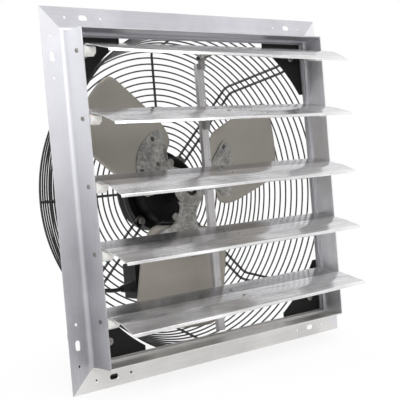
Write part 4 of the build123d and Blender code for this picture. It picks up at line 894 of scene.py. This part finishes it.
# Each arm leaves the hub's face between these reaches, and its ribs rise and fade
ARM_START, ARM_RUN = 27.0, 23.0
RIB_START, RIB_RISE, RIB_END, RIB_FADE = 30.0, 8.0, 92.0, 20.0
RIB_INSET, RIB_WIDTH, RIB_HEIGHT = 4.6, 2.2, 2.8
arm_left = [
    (22.0, -30.0),
    (30.0, -26.0),
    (39.0, -23.8),
    (48.0, -24.6),
    (56.0, -28.5),
    (63.0, -37.0),
    (68.5, -50.0),
    (73.5, -63.0),
    (80.0, -72.5),
    (89.0, -76.5),
    (99.0, -71.0),
    (108.0, -58.5),
    (116.0, -43.0),
    (123.0, -27.0),
    (126.6, -10.0),
]
arm_right = [
    (22.0, 27.0),
    (31.0, 18.5),
    (43.0, 11.5),
    (55.0, 10.0),
    (67.0, 11.2),
    (79.0, 15.0),
    (92.0, 21.5),
    (104.0, 28.0),
    (113.0, 31.0),
    (120.0, 28.5),
    (124.5, 19.0),
    (126.8, 5.0),
]


def smooth_line(points, count):
    """A curve through all its points, a cubic between neighbours, sampled evenly."""
    points = np.asarray(points, float)
    ends = np.concatenate([2 * points[:1] - points[1:2], points, 2 * points[-1:] - points[-2:-1]])
    share = np.linspace(0, 1, 12, endpoint=False)[:, None]
    runs = []
    for before, here, after, beyond in zip(ends, ends[1:], ends[2:], ends[3:]):
        first, last = (after - before) / 2, (beyond - here) / 2
        runs.append(
            here * (2 * share**3 - 3 * share**2 + 1)
            + after * (3 * share**2 - 2 * share**3)
            + first * (share**3 - 2 * share**2 + share)
            + last * (share**3 - share**2)
        )
    return trimmed(np.concatenate([*runs, points[-1:]]), 0, 0, count)


def rib(edge_distance):
    """The height of the rounded rib along an edge, at a distance from that edge."""
    return RIB_HEIGHT * np.exp(-(((edge_distance - RIB_INSET) / RIB_WIDTH) ** 2))


def arm_part(degrees):
    """A neck and its lobe in one sheet: straight rows between the arm's two edges."""
    out_way, across_way = out_and_across(degrees)
    left, right = smooth_line(arm_left, 91), smooth_line(arm_right, 91)
    share = (1 - np.cos(np.linspace(0, math.pi, 45))) / 2
    flat = left[:, None] + share[None, :, None] * (right - left)[:, None]
    width = np.linalg.norm(right - left, axis=1)[:, None]
    out, across = flat[..., 0], flat[..., 1]
    ease = np.clip((out - ARM_START) / ARM_RUN, 0, 1)
    ease = ease * ease * (3 - 2 * ease)
    rise = np.clip((out - RIB_START) / RIB_RISE, 0, 1)
    fade = rise * np.clip((RIB_END - out) / RIB_FADE, 0, 1)
    from_left, from_right = share[None, :] * width, (1 - share[None, :]) * width
    lift = fade * (rib(from_left) + rib(from_right))
    at_hub, at_blade = HUB_FACE + HUB_OFFSET, blade_depth(across) - ARM_OFFSET
    depth = at_hub * (1 - ease) + at_blade * ease - lift
    points = out[..., None] * out_way + across[..., None] * across_way + depth[..., None] * TO_BACK
    return points, grid_faces(*out.shape)


spider_parts = [arm_part(degrees) for degrees in BLADE_DIRECTIONS]
DISH_RIM = HUB_FACE + DISH_OFFSET
dish_line = rounded_line(
    ((12.0, 45.0), (17.0, 45.0), (29.0, DISH_RIM), (33.5, DISH_RIM)), (4.0, 6.0)
)
dish_turn = np.linspace(0, 2 * math.pi, 96, endpoint=False)[None, :, None]
dish_ways = np.cos(dish_turn) * RIGHTWARD + np.sin(dish_turn) * UPWARD
dish_points = dish_line[:, None, :1] * dish_ways + dish_line[:, None, 1:] * TO_BACK
spider_parts.append((dish_points, grid_faces(len(dish_line), dish_turn.size, False, True)))
make_piece(
    "spider_sheet",
    spider_parts,
    spider_zinc,
    "fan",
    ["fan_spider"],
    sharp=45.0,
    sheet=SPIDER_SHEET,
)

# Rivets: low domes on both faces, measured along the rivet from the blade's front face
RIVET_PLACES = ((101.3, -51.2), (78.8, -10.7), (111.3, 20.3))
RIVET_HEAD, RIVET_DOME, RIVET_STEM, RIVET_BACK, RIVET_FRONT = 4.5, 1.6, 2.5, -1.75, 2.1
rivet_seats, rivet_ways = [], []
for degrees in BLADE_DIRECTIONS:
    out, across = out_and_across(degrees)
    for reach, side in RIVET_PLACES:
        rivet_seats.append(reach * out + side * across + float(blade_depth(side)) * TO_BACK)
        rivet_ways.append(blade_slope(side) * across - TO_BACK)
dome = np.linspace(0, math.pi / 2, 8)
back_head = [RIVET_HEAD * np.sin(dome), RIVET_BACK - RIVET_DOME * np.cos(dome)]
front_head = [RIVET_HEAD * np.cos(dome), RIVET_FRONT + RIVET_DOME * np.sin(dome)]
rivet_profile = np.concatenate(
    [
        np.stack(back_head, axis=1),
        [(RIVET_STEM, RIVET_BACK), (RIVET_STEM, RIVET_FRONT)],
        np.stack(front_head, axis=1),
    ]
)
make_piece(
    "rivet_heads",
    turned(rivet_profile, rivet_seats, rivet_ways, sides=20),
    rivet_steel,
    "fan",
    ["blade_rivets"],
)

# Motor's front bell: a drawn cup with a rolled shoulder and a raised bearing boss
BELL_BORE, BOSS_INNER, BOSS_OUTER, CUP_INNER, CUP_OUTER = 7.3, 22.0, 24.0, 60.5, 63.0
BOSS_FRONT, BOSS_BACK, CUP_FRONT, CUP_BACK, CUP_REAR = 96.0, 98.5, 104.0, 106.5, 143.5
bell_line = rounded_line(
    (
        (BELL_BORE, BOSS_FRONT),
        (BOSS_OUTER, BOSS_FRONT),
        (BOSS_OUTER, CUP_FRONT),
        (CUP_OUTER, CUP_FRONT),
        (CUP_OUTER, CUP_REAR),
        (CUP_INNER, CUP_REAR),
        (CUP_INNER, CUP_BACK),
        (BOSS_INNER, CUP_BACK),
        (BOSS_INNER, BOSS_BACK),
        (BELL_BORE, BOSS_BACK),
    ),
    (2.5, 2.0, 10.0, 0.3, 0.3, 7.5, 1.0, 0.5),
)
make_piece(
    "motor_bell_front",
    turned(bell_line, [(0, 0, 0)], [TO_BACK], sides=96, closed=True),
    motor_enamel,
    "frame",
    ["motor_front_bell"],
)

# Finishes of the solid pieces that stay as they are
ZINC_PLATED = ("gusset_screws", "gusset_nuts", "pivot_screws", "motor_bolts", "bell_screws")
GROUND = ("stator_core", "motor_rotor", "motor_bearings", "motor_shaft")
finishes = {
    **{node_name: zinc_plate for node_name in (*ZINC_PLATED, "cover_screws")},
    **{node_name: bright_steel for node_name in GROUND},
    **{f"frame_{side}": finish for side, finish in frame_lit_and_shaded_copies.items()},
    "corner_keys": bar_aluminium,
    "corner_gussets": black_coat,
    "motor_shell": motor_enamel,
    "motor_rear_bell": motor_enamel,
    "stator_windings": copper_enamel,
    "fan_hub": oiled_steel,
    "hub_set_screw": oiled_steel,
    "junction_box": black_nylon,
    "junction_cover": black_nylon,
    "capacitor": black_nylon,
    "motor_lead": cord_sheath,
    "cord_plug": cord_sheath,
    "plug_prongs": prong_brass,
    "tie_bar": bar_aluminium,
    "tie_links": grey_nylon,
    "tie_pins": black_nylon,
}
for number in range(1, len(LOUVRE_PIVOTS) + 1):
    finishes[f"louvre_{number}_clips"] = white_nylon
    finishes[f"louvre_{number}_crank"] = crank_zinc
for node_name, finish in finishes.items():
    solid_mesh = solid_nodes[node_name].data
    solid_mesh.materials.clear()
    solid_mesh.materials.append(finish)

# Studio: a pale floor, a white surround and three broad soft lamps
FLOOR_HALF, FLOOR_GAP = 12.0, 0.0004
floor_corners = [
    (-FLOOR_HALF, -FLOOR_HALF, 0),
    (FLOOR_HALF, -FLOOR_HALF, 0),
    (FLOOR_HALF, FLOOR_HALF, 0),
    (-FLOOR_HALF, FLOOR_HALF, 0),
]
floor_mesh = bpy.data.meshes.new("studio_floor")
floor_mesh.from_pydata(floor_corners, [], [(0, 1, 2, 3)])
floor_mesh.transform(Matrix.Translation((0, 0, float(cad_box[0][2]) - FLOOR_GAP)))
studio_floor = bpy.data.objects.new("studio_floor", floor_mesh)
bpy.context.scene.collection.objects.link(studio_floor)
floor_paint, floor_tree, floor_shader, floor_place = new_material("pale_floor_paint")
floor_cloud = add(floor_tree, "ShaderNodeTexNoise", {"Vector": floor_place, "Scale": 3.0})
floor_tone = tones(floor_tree, floor_cloud.outputs["Fac"], ((0.0, "#f4f4f4"), (1.0, "#f8f8f8")))
floor_tree.links.new(floor_tone, floor_shader.inputs["Base Color"])
floor_shader.inputs["Roughness"].default_value = 0.9
floor_rays = add(floor_tree, "ShaderNodeLightPath")
floor_seen = add(
    floor_tree,
    "ShaderNodeMath",
    {0: floor_rays.outputs["Is Camera Ray"], 1: floor_rays.outputs["Is Glossy Ray"]},
    operation="MAXIMUM",
)
floor_glow = add(floor_tree, "ShaderNodeEmission", {"Color": linear("#ffffff"), "Strength": 1.0})
# The floor glows white, less so near the fan, where its shadow shows
floor_way = add(floor_tree, "ShaderNodeVectorMath", {0: floor_place}, operation="LENGTH")
floor_fade = add(
    floor_tree,
    "ShaderNodeMapRange",
    {
        "Value": floor_way.outputs["Value"],
        "From Min": 0.32,
        "From Max": 0.62,
        "To Min": 0.8,
        "To Max": 1.0,
    },
    interpolation_type="SMOOTHSTEP",
)
floor_share = add(
    floor_tree,
    "ShaderNodeMath",
    {0: floor_seen.outputs["Value"], 1: floor_fade.outputs["Result"]},
    operation="MULTIPLY",
)
floor_mix = add(
    floor_tree,
    "ShaderNodeMixShader",
    {
        0: floor_share.outputs["Value"],
        1: floor_shader.outputs["BSDF"],
        2: floor_glow.outputs["Emission"],
    },
)
floor_output = next(node for node in floor_tree.nodes if node.type == "OUTPUT_MATERIAL")
floor_tree.links.new(floor_mix.outputs["Shader"], floor_output.inputs["Surface"])
floor_mesh.materials.append(floor_paint)

world = bpy.data.worlds.new("studio_surround")
bpy.context.scene.world = world
world.use_nodes = True
sky = world.node_tree
sky.nodes.clear()
sky_rays = add(sky, "ShaderNodeLightPath")
sky_way = add(sky, "ShaderNodeTexCoord").outputs["Generated"]
sky_parts = add(sky, "ShaderNodeSeparateXYZ", {"Vector": sky_way})
sky_front = add(
    sky,
    "ShaderNodeMapRange",
    {"Value": sky_parts.outputs["Y"], "From Min": -0.9, "From Max": 0.7},
)
sky_glossy = tones(sky, sky_front.outputs["Result"], ((0.0, "#ffffff"), (1.0, "#f0f0f2")))
sky_fill = add(sky, "ShaderNodeBackground", {"Color": linear("#ffffff"), "Strength": 0.62})
sky_mirror = add(sky, "ShaderNodeBackground", {"Color": sky_glossy, "Strength": 1.0})
sky_white = add(sky, "ShaderNodeBackground", {"Color": linear("#ffffff"), "Strength": 1.0})
sky_mixed = add(
    sky,
    "ShaderNodeMixShader",
    {
        0: sky_rays.outputs["Is Glossy Ray"],
        1: sky_fill.outputs["Background"],
        2: sky_mirror.outputs["Background"],
    },
)
sky_clear = add(
    sky,
    "ShaderNodeMath",
    {0: sky_rays.outputs["Is Camera Ray"], 1: sky_rays.outputs["Is Transmission Ray"]},
    operation="MAXIMUM",
)
sky_all = add(
    sky,
    "ShaderNodeMixShader",
    {
        0: sky_clear.outputs["Value"],
        1: sky_mixed.outputs["Shader"],
        2: sky_white.outputs["Background"],
    },
)
add(sky, "ShaderNodeOutputWorld", {"Surface": sky_all.outputs["Shader"]})

LAMP_WIDTH = 1.6


def soft_lamp(name, place, power):
    """A square soft lamp at a place in metres, turned towards the fan, with its watts."""
    lamp_data = bpy.data.lights.new(name, "AREA")
    lamp_data.size = LAMP_WIDTH
    lamp_data.energy = power
    lamp = bpy.data.objects.new(name, lamp_data)
    lamp.location = place
    lamp.rotation_euler = (-Vector(place)).to_track_quat("-Z", "Y").to_euler()
    bpy.context.scene.collection.objects.link(lamp)


soft_lamp("key_lamp", (-1.6, -2.2, 1.9), 50.0)
soft_lamp("fill_lamp", (0.9, -1.5, 2.6), 34.0)
soft_lamp("back_lamp", (-0.6, 2.4, 1.6), 28.0)

bpy.context.scene.view_settings.view_transform = "Standard"
